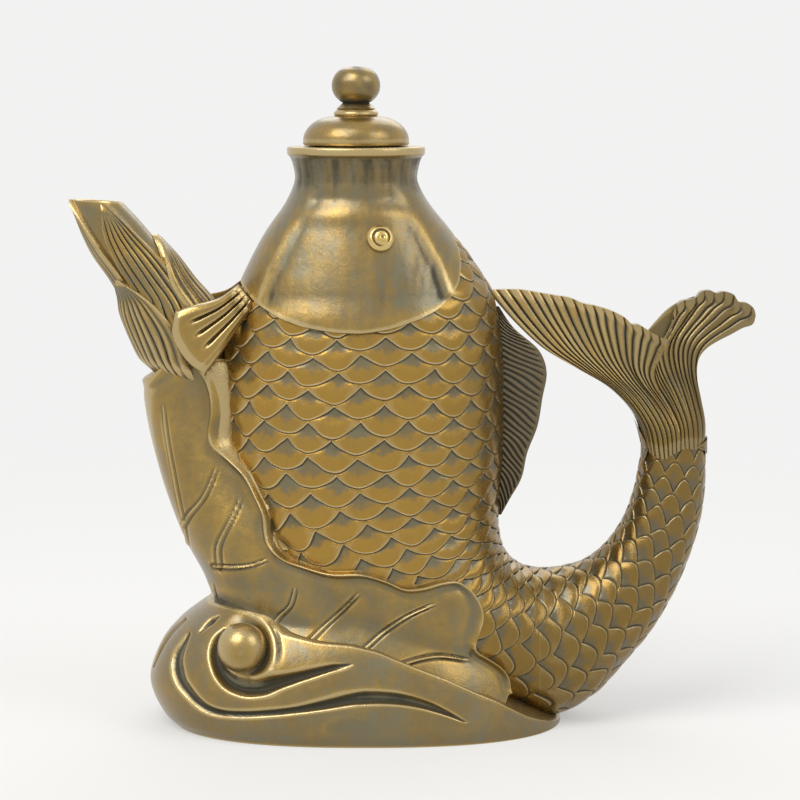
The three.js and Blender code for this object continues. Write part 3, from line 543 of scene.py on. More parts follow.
def tube_shape(grid: Array, marks: dict[str, Array] | None = None,
               looped: bool = False, peaked: bool = False) -> Shape:
    """Skin over rings of points.

    Args:
        grid: Rings of points, all with the same count.
        marks: Values for each point of the grid, by name.
        looped: Whether the last ring joins the first; otherwise each end is closed.
        peaked: Whether an end is closed with a fan round a middle point, not with one face.

    Returns:
        The closed shape.
    """
    rows, columns = grid.shape[:2]
    points = grid.reshape(-1, 3)
    steps = rows if looped else rows - 1
    i, j = np.meshgrid(np.arange(steps), np.arange(columns), indexing="ij")
    here, beside = i * columns + j, i * columns + (j + 1) % columns
    next_row = ((i + 1) % rows) * columns
    quads = np.stack([here, beside, next_row + (j + 1) % columns, next_row + j], axis=-1).reshape(-1, 4)
    faces = quads.tolist()
    values = {name: value.reshape(rows * columns, *value.shape[2:])
              for name, value in (marks or {}).items()}
    if not looped and not peaked:
        faces.append(list(range(columns))[::-1])
        faces.append(list(range((rows - 1) * columns, rows * columns)))
    elif not looped:
        for end, start in ((0, 0), (rows - 1, (rows - 1) * columns)):
            centre = len(points)
            points = np.vstack([points, grid[end].mean(axis=0)])
            for k in range(columns):
                pair = [start + k, start + (k + 1) % columns]
                faces.append([*(pair[::-1] if end == 0 else pair), centre])
        values = {name: np.concatenate([value, np.zeros((2, *value.shape[1:]))])
                  for name, value in values.items()}
    return Shape(points, faces, values).facing_out()


def blade_shape(near: Array, far: Array, marks: dict[str, Array] | None = None) -> Shape:
    """Blade between two grids of points, joined round the rim.

    Args:
        near: Points of the near face.
        far: Points of the far face, as many.
        marks: Values for each point of both faces, by name, stacked near then far.

    Returns:
        The closed shape.
    """
    rows, columns = near.shape[:2]
    count = rows * columns
    points = np.vstack([near.reshape(-1, 3), far.reshape(-1, 3)])
    i, j = np.meshgrid(np.arange(rows - 1), np.arange(columns - 1), indexing="ij")
    a = (i * columns + j).reshape(-1)
    front = np.stack([a, a + 1, a + columns + 1, a + columns], axis=-1)
    back = front[:, ::-1] + count
    order = np.arange(count).reshape(rows, columns)
    rim = [*order[0, :-1], *order[:-1, -1], *order[-1, :0:-1], *order[:0:-1, 0]]
    rim = [int(k) for k in rim]
    sides = [[b, a, a + count, b + count] for a, b in zip(rim, rim[1:] + rim[:1])]
    values = {name: value.reshape(2 * count, *value.shape[3:]) for name, value in (marks or {}).items()}
    return Shape(points, front.tolist() + back.tolist() + sides, values).facing_out()


def coons_patch(side_a: Points, side_b: Points, root: Points, tip: Points,
                across: Array, along: Array) -> Array:
    """Surface stretched between four edge lines.

    Args:
        side_a: Edge at across 0, from root to tip.
        side_b: Edge at across 1, from root to tip.
        root: Edge at along 0.
        tip: Edge at along 1.
        across: Shares across.
        along: Shares along.

    Returns:
        Array of points with a row for each share along.
    """
    a, b, r, t = (Spline(line) for line in (side_a, side_b, root, tip))
    u, v = along[:, None, None], across[None, :, None]
    surface = a.at(along)[:, None] * (1 - v) + b.at(along)[:, None] * v
    surface = surface + r.at(across)[None] * (1 - u) + t.at(across)[None] * u
    corners = [line.raw(np.array(end)) for line in (a, b) for end in (0.0, 1.0)]
    surface = surface - corners[0] * (1 - v) * (1 - u) - corners[2] * v * (1 - u)
    return surface - corners[1] * (1 - v) * u - corners[3] * v * u


def standing(flat: Array, depth: Array) -> Array:
    """Points of a form drawn on the flank as x, z, moved to depths along y."""
    return np.stack([flat[..., 0], depth, flat[..., 1]], axis=-1)


def doubled(values: Array) -> Array:
    """The same values for both faces of a blade."""
    return np.stack([values, values])


def fold_noise(points: Array, size: float, seed: int) -> Array:
    """Slow irregularity of a hand-finished surface, from a few crossed waves.

    Args:
        points: Places on the surface.
        size: Length of the waves.
        seed: Seed of their draws.

    Returns:
        A value from about -1 to 1 for each place.
    """
    random = np.random.default_rng(seed)
    total = np.zeros(points.shape[:-1])
    for _ in range(5):
        way = random.normal(size=3)
        way /= np.linalg.norm(way) * size * random.uniform(0.6, 1.4)
        total += np.sin(points @ way * TURN + random.uniform(0, TURN))
    return total / 3


class Wire:
    """Number that a node works out, with Python's operators."""

    def __init__(self, graph: Graph, socket: bpy.types.NodeSocket) -> None:
        """Keeps the socket and the tree that it belongs to."""
        self.graph = graph
        self.socket = socket

    def __add__(self, other: Any) -> Wire:
        """Sum."""
        return self.graph.math("ADD", self, other)

    __radd__ = __add__

    def __sub__(self, other: Any) -> Wire:
        """Difference."""
        return self.graph.math("SUBTRACT", self, other)

    def __rsub__(self, other: Any) -> Wire:
        """Difference from a number."""
        return self.graph.math("SUBTRACT", other, self)

    def __mul__(self, other: Any) -> Wire:
        """Product."""
        return self.graph.math("MULTIPLY", self, other)

    __rmul__ = __mul__

    def __truediv__(self, other: Any) -> Wire:
        """Quotient."""
        return self.graph.math("DIVIDE", self, other)

    def __pow__(self, other: Any) -> Wire:
        """Power."""
        return self.graph.math("POWER", self, other)

    def __neg__(self) -> Wire:
        """Opposite."""
        return self.graph.math("MULTIPLY", self, -1.0)

    def __abs__(self) -> Wire:
        """Size."""
        return self.graph.math("ABSOLUTE", self)


class Graph:
    """Node tree with short ways to add nodes."""

    def __init__(self, tree: bpy.types.NodeTree) -> None:
        """Keeps the tree."""
        self.tree = tree

    @classmethod
    def emptied(cls, owner: bpy.types.Material | bpy.types.World) -> Graph:
        """Empties the tree of a material or a world.

        Args:
            owner: The material or world.

        Returns:
            Its graph.
        """
        owner.use_nodes = True
        owner.node_tree.nodes.clear()
        return cls(owner.node_tree)

    def node(self, kind: str, inputs: dict[Any, Any] | None = None, **settings: Any) -> bpy.types.Node:
        """Adds a node.

        Args:
            kind: The node's type.
            inputs: Values or wires, by the socket's name or number.
            settings: Properties of the node, set before its sockets.

        Returns:
            The new node.
        """
        node = self.tree.nodes.new(kind)
        for name, value in settings.items():
            setattr(node, name, value)
        for key, value in (inputs or {}).items():
            socket = node.inputs[key] if isinstance(key, int) else self.socket(node.inputs, key)
            source = value.socket if isinstance(value, Wire) else value
            if isinstance(source, bpy.types.NodeSocket):
                self.tree.links.new(source, socket)
            else:
                socket.default_value = source
        return node

    @staticmethod
    def socket(sockets: Any, name: str) -> bpy.types.NodeSocket:
        """The first socket in use that has a name."""
        return next(s for s in sockets if s.name == name and s.enabled)

    def wire(self, kind: str, inputs: dict[Any, Any] | None = None, out: str | None = None,
             **settings: Any) -> Wire:
        """Adds a node and gives one of its outputs.

        Args:
            kind: The node's type.
            inputs: Values or wires, by the socket's name or number.
            out: The output's name, or None for the first in use.
            settings: Properties of the node.

        Returns:
            The wire of that output.
        """
        node = self.node(kind, inputs, **settings)
        socket = self.socket(node.outputs, out) if out else next(s for s in node.outputs if s.enabled)
        return Wire(self, socket)

    def math(self, operation: str, *values: Any) -> Wire:
        """Adds a Math node."""
        return self.wire("ShaderNodeMath", dict(enumerate(values)), operation=operation)

    def smooth(self, value: Any, low: float, high: float) -> Wire:
        """Eased rise from 0 at low to 1 at high."""
        return self.wire("ShaderNodeMapRange", {"Value": value, "From Min": low, "From Max": high},
                         out="Result", interpolation_type="SMOOTHSTEP")

    def mixed(self, share: Any, first: Any, second: Any) -> Wire:
        """Mix of two colours, each a wire or three numbers."""
        a, b = (color if isinstance(color, Wire) else (*color, 1) for color in (first, second))
        return self.wire("ShaderNodeMix", {0: share, "A": a, "B": b}, out="Result", data_type="RGBA")

    def mark(self, name: str) -> Wire:
        """Value of one of the mesh's attributes, in a material."""
        return self.wire("ShaderNodeAttribute", out="Fac", attribute_name=name)


class ReliefTree:
    """Geometry nodes that raise a skin along its own directions, with a profile from a subclass."""

    name = "relief"
    inputs: dict[str, float] = {}

    def __init__(self, material: bpy.types.Material) -> None:
        """Builds the tree.

        Args:
            material: Finish that it sets.
        """
        self.tree = bpy.data.node_groups.new(self.name, "GeometryNodeTree")
        face = self.tree.interface
        face.new_socket("Geometry", in_out="INPUT", socket_type="NodeSocketGeometry")
        self.sockets = {name: face.new_socket(name, in_out="INPUT", socket_type="NodeSocketFloat")
                        for name in self.inputs}
        face.new_socket("Geometry", in_out="OUTPUT", socket_type="NodeSocketGeometry")
        graph = Graph(self.tree)
        source = graph.node("NodeGroupInput")
        sizes = {name: Wire(graph, source.outputs[name]) for name in self.inputs}
        height, tone = self.profile(graph, sizes)
        strength = self.attribute(graph, "strength")
        way = self.attribute(graph, "outward", "FLOAT_VECTOR")
        offset = graph.wire("ShaderNodeVectorMath", {0: way, "Scale": height * strength * MM},
                            operation="SCALE")
        toned = graph.wire("GeometryNodeStoreNamedAttribute", {
            "Geometry": source.outputs["Geometry"], "Name": "tone", "Value": tone * strength},
            data_type="FLOAT", domain="POINT")
        moved = graph.wire("GeometryNodeSetPosition", {"Geometry": toned, "Offset": offset})
        real = graph.wire("GeometryNodeRealizeInstances", {"Geometry": moved})
        dressed = graph.wire("GeometryNodeSetMaterial", {"Geometry": real, "Material": material})
        graph.node("NodeGroupOutput", {"Geometry": dressed})

    @staticmethod
    def attribute(graph: Graph, name: str, kind: str = "FLOAT") -> Wire:
        """Value of a named attribute at each point."""
        return graph.wire("GeometryNodeInputNamedAttribute", {"Name": name}, out="Attribute",
                          data_type=kind)

    def profile(self, graph: Graph, sizes: dict[str, Wire]) -> tuple[Wire, Wire]:
        """Height of the relief at each point in millimetres, and its tone from -1 to 1."""
        raise NotImplementedError

    def apply(self, piece: bpy.types.Object, **sizes: float) -> None:
        """Runs the tree on a piece and keeps the result as its plain mesh.

        Args:
            piece: Object whose mesh has the attributes that the profile reads.
            sizes: Values for the tree's inputs, with spaces in their names written as underscores.
        """
        modifier = piece.modifiers.new(self.name, "NODES")
        modifier.node_group = self.tree
        for name, socket in self.sockets.items():
            key = name.lower().replace(" ", "_")
            modifier[socket.identifier] = float(sizes.get(key, self.inputs[name]))
        shown = piece.evaluated_get(bpy.context.evaluated_depsgraph_get())
        made = bpy.data.meshes.new_from_object(shown)
        piece.modifiers.clear()
        old = piece.data
        piece.data = made
        bpy.data.meshes.remove(old)


class ScalePattern:
    """Overlapping fish scales in staggered rows, for the nodes of a mesh and of a material alike.

    A place is told by its distance to its scale's free edge and from the edge of the scales above,
    both in rows, by how far beside the scale's middle it is, and by the scale's own luck.
    """

    sizes = {"Scales at head": 18.0, "Scales at fin": 10.0, "First narrow row": 14.0,
             "Last narrow row": 42.0, "Arc": 0.8, "Uneven": 1.0}

    def __init__(self, graph: Graph, row: Wire, turn: Wire, sizes: dict[str, Any], blur: float) -> None:
        """Works out the scale on top at each place.

        Args:
            graph: The tree to add nodes to.
            row: Place along the body, in rows.
            turn: Place round it, in turns.
            sizes: Values or wires, by the names above.
            blur: How softly one scale gives way to the next, in rows.
        """
        self.graph = graph
        self.turn = turn
        self.sizes = sizes
        whole = graph.math("FLOOR", row)
        part = row - whole
        above = self.scale(whole - 1)[0]
        own, *own_rest = self.scale(whole)
        below, *below_rest = self.scale(whole + 1)
        self.on_own = graph.smooth(own - part, -blur, blur)
        self.own = (own - part, part + 1 - above, *own_rest)
        self.lower = (below + 1 - part, part - own, *below_rest)

    def scale(self, number: Wire) -> tuple[Wire, Wire, Wire]:
        """The scale of a row at this angle.

        Args:
            number: The row's number.

        Returns:
            Its reach in rows, how far beside its middle the place is, and its luck.
        """
        graph, sizes = self.graph, self.sizes
        span = sizes["Last narrow row"] - sizes["First narrow row"]
        share = graph.smooth((number - sizes["First narrow row"]) / span, 0.0, 1.0)
        count = graph.math("ROUND", sizes["Scales at head"] * (1 - share) + sizes["Scales at fin"] * share)
        place = self.turn * count + graph.math("FRACT", number * 0.5)
        index = graph.math("FLOOR", place)
        beside = (place - index - 0.5) * 2
        seed = graph.wire("ShaderNodeCombineXYZ", {"X": number, "Y": index, "Z": 0.5})
        luck = graph.wire("ShaderNodeTexWhiteNoise", {"Vector": seed}, out="Value") * 2 - 1
        luck = luck * sizes["Uneven"]
        reach = (sizes["Arc"] + luck * 0.11) * (1 - abs(beside) ** 1.8)
        return reach, beside, luck

    def blended(self, measure: Callable[..., Wire]) -> Wire:
        """A measure of the scale on top, blended where one gives way to the next."""
        return measure(*self.own) * self.on_own + measure(*self.lower) * (1 - self.on_own)


class ScaleTree(ReliefTree):
    """Scales whose free ends point along the body."""

    name = "scales"
    inputs = {**ScalePattern.sizes, "Lift": 0.5, "Rim": 0.07, "Undercut": 0.26}

    def profile(self, graph: Graph, sizes: dict[str, Wire]) -> tuple[Wire, Wire]:
        """The scale that lies on top at each point; its tone is left to the material.

        Args:
            graph: The tree.
            sizes: Its inputs.

        Returns:
            The height, and a tone of 0.
        """
        row, turn = (self.attribute(graph, name) for name in ("row", "turn"))
        pattern = ScalePattern(graph, row, turn, sizes, 0.05)

        def height(to_edge: Wire, from_above: Wire, beside: Wire, luck: Wire) -> Wire:
            """A step up to the rubbed end, which rounds off at its rim, and a dip under the edge above.

            Args:
                to_edge: Rows to the scale's free edge.
                from_above: Rows from the edge above.
                beside: How far beside its middle, -1 to 1.
                luck: The scale's own, -1 to 1.

            Returns:
                The height in millimetres.
            """
            step = 1 - graph.smooth(to_edge, 0.5, 1.45)
            rounding = 1 - graph.smooth(to_edge, 0.0, 0.4)
            rim = 1 - graph.smooth(abs(to_edge - 0.07), 0.0, 0.09)
            dip = 1 - graph.smooth(from_above, 0.0, 0.2)
            lift = sizes["Lift"] * (1 + luck * 0.22)
            return (lift * (step - 0.55 - rounding * 0.22) + sizes["Rim"] * rim - sizes["Undercut"] * dip
                    - abs(beside) ** 2 * 0.12)

        return pattern.blended(height), graph.math("ADD", 0.0, 0.0)


class RibTree(ReliefTree):
    """Rounded ribs with fine valleys between them, which merge in pairs where a mark says so."""

    name = "ribs"
    inputs = {"Ribs": 20.0, "Relief": 0.5, "Valley": 0.55}

    def profile(self, graph: Graph, sizes: dict[str, Wire]) -> tuple[Wire, Wire]:
        """The rib at each point.

        Args:
            graph: The tree.
            sizes: Its inputs.

        Returns:
            The rib's height and its tone.
        """
        place = self.attribute(graph, "across") * sizes["Ribs"] * math.pi
        merged = self.attribute(graph, "merged")
        crest = abs(graph.math("SINE", place)) ** sizes["Valley"]
        pair = abs(graph.math("SINE", place * 0.5)) ** sizes["Valley"]
        crest = pair * merged + crest * (1 - merged)
        # tone: the valleys are painted dark, as shade over their patina, and the crests a little lighter
        return sizes["Relief"] * (crest - 0.75), crest * 1.5 - 1.2


@dataclass(frozen=True)
class BronzeFinish:
    """Patina over cast bronze: brown and grey-green in the hollows, golden where hands rub it, with painted
    light on top: painted shade in the hollows and towards the handle, and painted highlights in the pale
    colour.

    Colours are linear. Sizes are in millimetres.
    """

    name: str
    rubbed: tuple[float, float, float] = (0.36, 0.232, 0.06)
    middle: tuple[float, float, float] = (0.155, 0.11, 0.034)
    grey: tuple[float, float, float] = (0.16, 0.138, 0.07)
    # hollow: near-black colour of recesses, dark patina with painted shade over it
    hollow: tuple[float, float, float] = (0.034, 0.028, 0.017)
    green: tuple[float, float, float] = (0.075, 0.088, 0.058)
    # pale: colour of the painted highlights on proud edges, scale rims and the lip
    pale: tuple[float, float, float] = (0.62, 0.52, 0.30)
    metallic: float = 0.7
    roughness: float = 0.33
    rub: float = 1.0
    coat: float = 0.55
    # painted shade towards the handle: its strength, and the x in millimetres where it starts and where it
    # is full
    handle_shade: float = 0.4
    shade_from: float = 12.0
    shade_to: float = 60.0
    scaled: bool = False

    def scales(self, graph: Graph) -> tuple[Wire, Wire, Wire]:
        """How the colour runs over each scale.

        Args:
            graph: The material's tree.

        Returns:
            Masks of the gold, of the rim's painted highlight and of the painted shade line under the edge
            above.
        """
        shown = graph.mark("strength")
        pattern = ScalePattern(graph, graph.mark("row"), graph.mark("turn"), ScalePattern.sizes, 0.012)
        to_edge = pattern.blended(lambda edge, above, beside, luck: edge)
        from_above = pattern.blended(lambda edge, above, beside, luck: above)
        luck = pattern.blended(lambda edge, above, beside, luck: luck)
        place = graph.wire("ShaderNodeTexCoord", out="Object")
        ragged = graph.wire("ShaderNodeTexNoise", {"Vector": place, "Scale": 1 / (1.7 * MM), "Detail": 3.0},
                            out="Fac") - 0.5
        gold = 1 - graph.smooth(to_edge + ragged * 1.2 - luck * 0.2, 0.55, 1.45)
        # rim: painted highlight along each scale's free edge
        rim = graph.smooth(to_edge, 0.0, 0.03) * (1 - graph.smooth(to_edge + ragged * 0.06, 0.055, 0.11))
        # line: painted shade in the crevice under the edge of the scale above, which also dents the bump
        line = 1 - graph.smooth(from_above + ragged * 0.05, 0.05, 0.11)
        return gold * shown * (0.88 + luck * 0.14), rim * shown, line * shown

    def material(self) -> bpy.types.Material:
        """Builds the material from the mesh's relief and a few sizes of mottling.

        Returns:
            The material.
        """
        material = bpy.data.materials.new(self.name)
        graph = Graph.emptied(material)
        place = graph.wire("ShaderNodeTexCoord", out="Object")
        fine, broad, tone = (graph.mark(name) for name in ("fine_relief", "broad_relief", "tone"))
        tall = graph.wire("ShaderNodeVectorMath", {0: place, 1: (1.0, 1.0, 0.22)}, operation="MULTIPLY")

        def noise(size: float, detail: float, rough: float = 0.55, where: Wire = place) -> Wire:
            """Noise whose patches are about that many millimetres wide."""
            return graph.wire("ShaderNodeTexNoise", {"Vector": where, "Scale": 1 / (size * MM),
                              "Detail": detail, "Roughness": rough}, out="Fac")

        patches, cloud, mottle, grain = noise(26, 3), noise(9, 4), noise(2.6, 4, 0.65), noise(0.55, 3)
        streaks = noise(2.2, 5, 0.65, tall)
        relief = fine * 0.6 + broad * 0.35
        proud = graph.smooth(relief + tone * 0.7 + (mottle - 0.5) * 0.8, -0.1, 0.85)
        # sunk: painted shade where the relief and the tone go down, over the dark patina of the recesses
        depth = -(fine * 0.72 + broad * 0.16 + tone * 0.8)
        sunk = graph.smooth(depth + (cloud - 0.5) * 0.5 + (grain - 0.5) * 0.3, 0.1, 0.9)
        engraved = None
        if self.scaled:
            gold, rim, engraved = self.scales(graph)
            relief = relief * 0.35
            proud = graph.smooth(relief + gold * 0.95 + (mottle - 0.5) * 0.9, 0.05, 0.9)
            # the painted shade line under each scale's edge darkens like a recess
            sunk = graph.math("MAXIMUM", sunk * 0.25, engraved)
        warm = graph.smooth(patches + (cloud - 0.5) * 0.7 + (streaks - 0.5) * 1.1, 0.34, 0.68)
        if self.scaled:
            warm = warm * 0.5 + gold * 0.5
        body = graph.mixed(warm, self.grey, self.middle)
        speck = graph.smooth(mottle + (grain - 0.5) * 0.5, 0.42, 0.8)
        body = graph.mixed(speck * 0.4, body, [c * 0.66 for c in self.middle])
        golden = graph.math("MINIMUM", (proud * 0.82 + warm * 0.2) * self.rub, 1.0)
        color = graph.mixed(golden, body, self.rubbed)
        # painted highlight: proud edges, a raised tone and the scale rims are mixed towards the pale colour
        lit = graph.smooth(fine + tone * 0.4 + (grain - 0.5) * 0.3, 0.45, 1.0) * 0.45
        if self.scaled:
            lit = graph.math("MAXIMUM", lit * 0.5, rim * 0.75)
        color = graph.mixed(lit, color, self.pale)
        verdigris = graph.smooth((cloud - 0.5) * 0.8 - broad - tone, 0.35, 1.0)
        color = graph.mixed(verdigris * 0.6, color, self.green)
        # recesses are mixed towards the hollow colour: dark patina and painted shade
        color = graph.mixed(sunk * 0.84, color, self.hollow)
        rough = self.roughness + sunk * 0.3 + (grain - 0.5) * 0.2 + (mottle - 0.5) * 0.18 - golden * 0.04
        height = grain * 0.3 + mottle * 0.65 + cloud * 1.4
        if engraved is not None:
            height = height + rim * 0.35 - engraved * 0.9
        bumped = graph.wire("ShaderNodeBump", {"Height": height, "Strength": 0.55, "Distance": 0.22 * MM},
                            out="Normal")
        # painted shade: the colour darkens towards the handle side, along +x
        split = graph.node("ShaderNodeSeparateXYZ", {"Vector": place})
        across = Wire(graph, split.outputs["X"])
        shaded = graph.smooth(across + (cloud - 0.5) * 0.02, self.shade_from * MM, self.shade_to * MM)
        shaded = shaded * self.handle_shade
        color = graph.mixed(shaded, color, [c * 0.45 for c in self.middle])
        coat = (1 - golden * 0.75) * (1 - sunk) * self.coat
        shader = graph.wire("ShaderNodeBsdfPrincipled", {
            "Base Color": color, "Metallic": self.metallic + golden * 0.14 - sunk * 0.5, "Roughness": rough,
            "Normal": bumped, "Specular IOR Level": 0.4, "Coat Weight": coat, "Coat Roughness": 0.27,
            "Coat IOR": 1.75}, out="BSDF")
        graph.node("ShaderNodeOutputMaterial", {"Surface": shader})
        return material


FINISHES = {
    Slot.AGED: BronzeFinish("aged bronze"),
    Slot.WORN: BronzeFinish("worn bronze", rub=1.15, roughness=0.32, coat=0.45, handle_shade=0.55,
                            shade_from=42.0, shade_to=76.0),
    # the dark finish is painted shade: on the dorsal fin in the tail lobe's shadow, and on pieces hidden
    # inside the lid and under the foot
    Slot.DARK: BronzeFinish("dark bronze", middle=(0.074, 0.058, 0.03), grey=(0.088, 0.08, 0.056),
                            rubbed=(0.15, 0.105, 0.042), pale=(0.22, 0.18, 0.11), roughness=0.42, rub=0.7,
                            coat=0.3),
    Slot.BRIGHT: BronzeFinish("bright brass", rubbed=(0.66, 0.45, 0.12), middle=(0.45, 0.31, 0.09),
                              grey=(0.42, 0.34, 0.17), metallic=0.85, roughness=0.26, rub=1.3, coat=0.3),
}
SCALED = BronzeFinish("scaled bronze", rubbed=(0.37, 0.215, 0.036), handle_shade=0.5, shade_from=0.0,
                      shade_to=30.0, scaled=True)


def mark_relief(mesh: bpy.types.Mesh) -> None:
    """Writes how proud or sunk each point is beside its surroundings, at two sizes, as attributes.

    Args:
        mesh: Mesh that gets the attributes.
    """
    count = len(mesh.vertices)
    place = np.empty(count * 3)
    mesh.vertices.foreach_get("co", place)
    place = place.reshape(-1, 3) / MM
    normal = np.empty(count * 3)
    mesh.vertices.foreach_get("normal", normal)
    normal = normal.reshape(-1, 3)
    ends = np.empty(len(mesh.edges) * 2, np.int32)
    mesh.edges.foreach_get("vertices", ends)
    a, b = ends.reshape(-1, 2).T
    here, there = np.concatenate([a, b]), np.concatenate([b, a])
    degree = np.maximum(np.bincount(here, minlength=count), 1)[:, None]
    spacing = float(np.median(np.linalg.norm(place[a] - place[b], axis=1)))

    def spread(values: Array, times: int) -> Array:
        """Values averaged with their neighbours along the mesh's edges.

        Args:
            values: A vector for each point.
            times: How often to average.

        Returns:
            The softened vectors.
        """
        for _ in range(times):
            near = np.stack([np.bincount(here, values[there, k], count) for k in range(3)], axis=1)
            values = 0.5 * values + 0.5 * near / degree
        return values

    calm, wide = 0.9, 2.8
    base = place
    done = 0
    for name, radius, full in (("fine_relief", calm, 0.1), ("broad_relief", wide, 0.34)):
        times = int(np.clip(round(2 * (radius / spacing) ** 2), 2, 90))
        base = spread(base, times - done)
        done = times
        depth = np.einsum("ij,ij->i", place - base, normal) / full
        attribute = mesh.attributes.new(name, "FLOAT", "POINT")
        attribute.data.foreach_set("value", np.clip(depth, -1, 1).astype(np.float32))


@dataclass
class Workshop:
    """Makes meshes of shapes, dresses them and hangs them on the frame."""

    materials: dict[Slot, bpy.types.Material] = field(default_factory=dict)
    ribs: dict[Slot, RibTree] = field(default_factory=dict)
    scales: ScaleTree | None = None

    def __post_init__(self) -> None:
        """Builds the finishes and the relief trees."""
        for slot, finish in FINISHES.items():
            self.materials[slot] = finish.material()
            self.ribs[slot] = RibTree(self.materials[slot])
        self.scales = ScaleTree(SCALED.material())

    def piece(self, name: str, shape: Shape, slot: Slot, body: str, nodes: Sequence[str],
              tree: ReliefTree | None = None, sharp: float = 50.0, **sizes: float) -> None:
        """Turns a shape into a dressed piece that rides on a body.

        Args:
            name: The piece's name.
            shape: Its closed surface.
            slot: Its finish.
            body: The body that carries it.
            nodes: The nodes that it stands for.
            tree: Relief to raise on it, if any.
            sharp: Angle in degrees past which an edge stays sharp.
            sizes: Inputs of the relief.
        """
        mesh = bpy.data.meshes.new(name)
        mesh.from_pydata((shape.points * MM).tolist(), [], shape.faces)
        for mark, value in shape.marks.items():
            kind = "FLOAT_VECTOR" if value.ndim == 2 else "FLOAT"
            attribute = mesh.attributes.new(mark, kind, "POINT")
            attribute.data.foreach_set("vector" if value.ndim == 2 else "value",
                                       value.astype(np.float32).reshape(-1))
        mesh.materials.append(self.materials[slot])
        made = bpy.data.objects.new(name, mesh)
        bpy.context.scene.collection.objects.link(made)
        if tree is not None:
            tree.apply(made, **sizes)
        kept = ("tone", "row", "turn", "strength") if tree is self.scales else ("tone",)
        for mark in shape.marks:
            if mark not in kept and mark in made.data.attributes:
                made.data.attributes.remove(made.data.attributes[mark])
        made.data.name = name
        made.data.polygons.foreach_set("use_smooth", [True] * len(made.data.polygons))
        made.data.set_sharp_from_angle(angle=math.radians(sharp))
        mark_relief(made.data)
        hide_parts(*nodes)
        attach(made, body)
        log.info("%s: %d faces", name, len(made.data.polygons))

    def pair(self, name: str, near: Shape, slot: Slot, node: str, tree: ReliefTree | None = None,
             sharp: float = 50.0, **sizes: float) -> None:
        """Makes a piece of the ewer on the near flank and its mirror image on the far one.

        Args:
            name: The pieces' name, with {} where their flank goes.
            near: Closed surface of the near one.
            slot: Their finish.
            node: The node that each stands for, with {} for the flank if it has one.
            tree: Relief to raise on them, if any.
            sharp: Angle in degrees past which an edge stays sharp.
            sizes: Inputs of the relief.
        """
        for flank, shape in ((Flank.NEAR, near), (Flank.FAR, near.mirrored())):
            side = flank.name.lower()
            self.piece(name.format(side), shape, slot, "ewer", [node.format(side)], tree, sharp, **sizes)


def turned_shape(profile: Points, x: float = MOUTH_X, around: int = 96) -> Shape:
    """Closed shape of revolution about an upright axis.

    Args:
        profile: Radius and height pairs round a closed outline, or from axis to axis.
        x: Place of the axis.
        around: Points round it.

    Returns:
        The shape.
    """
    line = np.array(profile, float)
    on_axis = line[0, 0] < 1e-6 and line[-1, 0] < 1e-6
    if on_axis:
        line = line[1:-1]
        ends = (profile[0][1], profile[-1][1])
    angles = np.linspace(0, TURN, around, endpoint=False)
    radius, height = line[:, 0][:, None], line[:, 1][:, None]
    grid = np.stack([x + radius * np.cos(angles), radius * np.sin(angles),
                     np.broadcast_to(height, (len(line), around))], axis=-1)
    shape = tube_shape(grid, looped=not on_axis, peaked=True)
    if on_axis:
        shape.points[-2, 2], shape.points[-1, 2] = ends
    return shape


def rounded_profile(corners: Points, radius: float, steps: int = 3) -> list[tuple[float, float]]:
    """Profile whose corners are rounded.

    Args:
        corners: Radius and height pairs of a closed outline, or from axis to axis.
        radius: Radius of the rounding, less where the sides are short.
        steps: Points on each rounding.

    Returns:
        The rounded profile.
    """
    line = np.array(corners, float)
    open_ends = line[0, 0] < 1e-6 and line[-1, 0] < 1e-6
    made = []
    for i, corner in enumerate(line):
        if open_ends and i in (0, len(line) - 1):
            made.append(tuple(corner))
            continue
        before, after = line[i - 1] - corner, line[(i + 1) % len(line)] - corner
        reach = min(radius, 0.45 * np.linalg.norm(before), 0.45 * np.linalg.norm(after))
        start = corner + before / np.linalg.norm(before) * reach
        end = corner + after / np.linalg.norm(after) * reach
        for t in np.linspace(0, 1, steps + 1):
            made.append(tuple((1 - t) ** 2 * start + 2 * t * (1 - t) * corner + t * t * end))
    return made


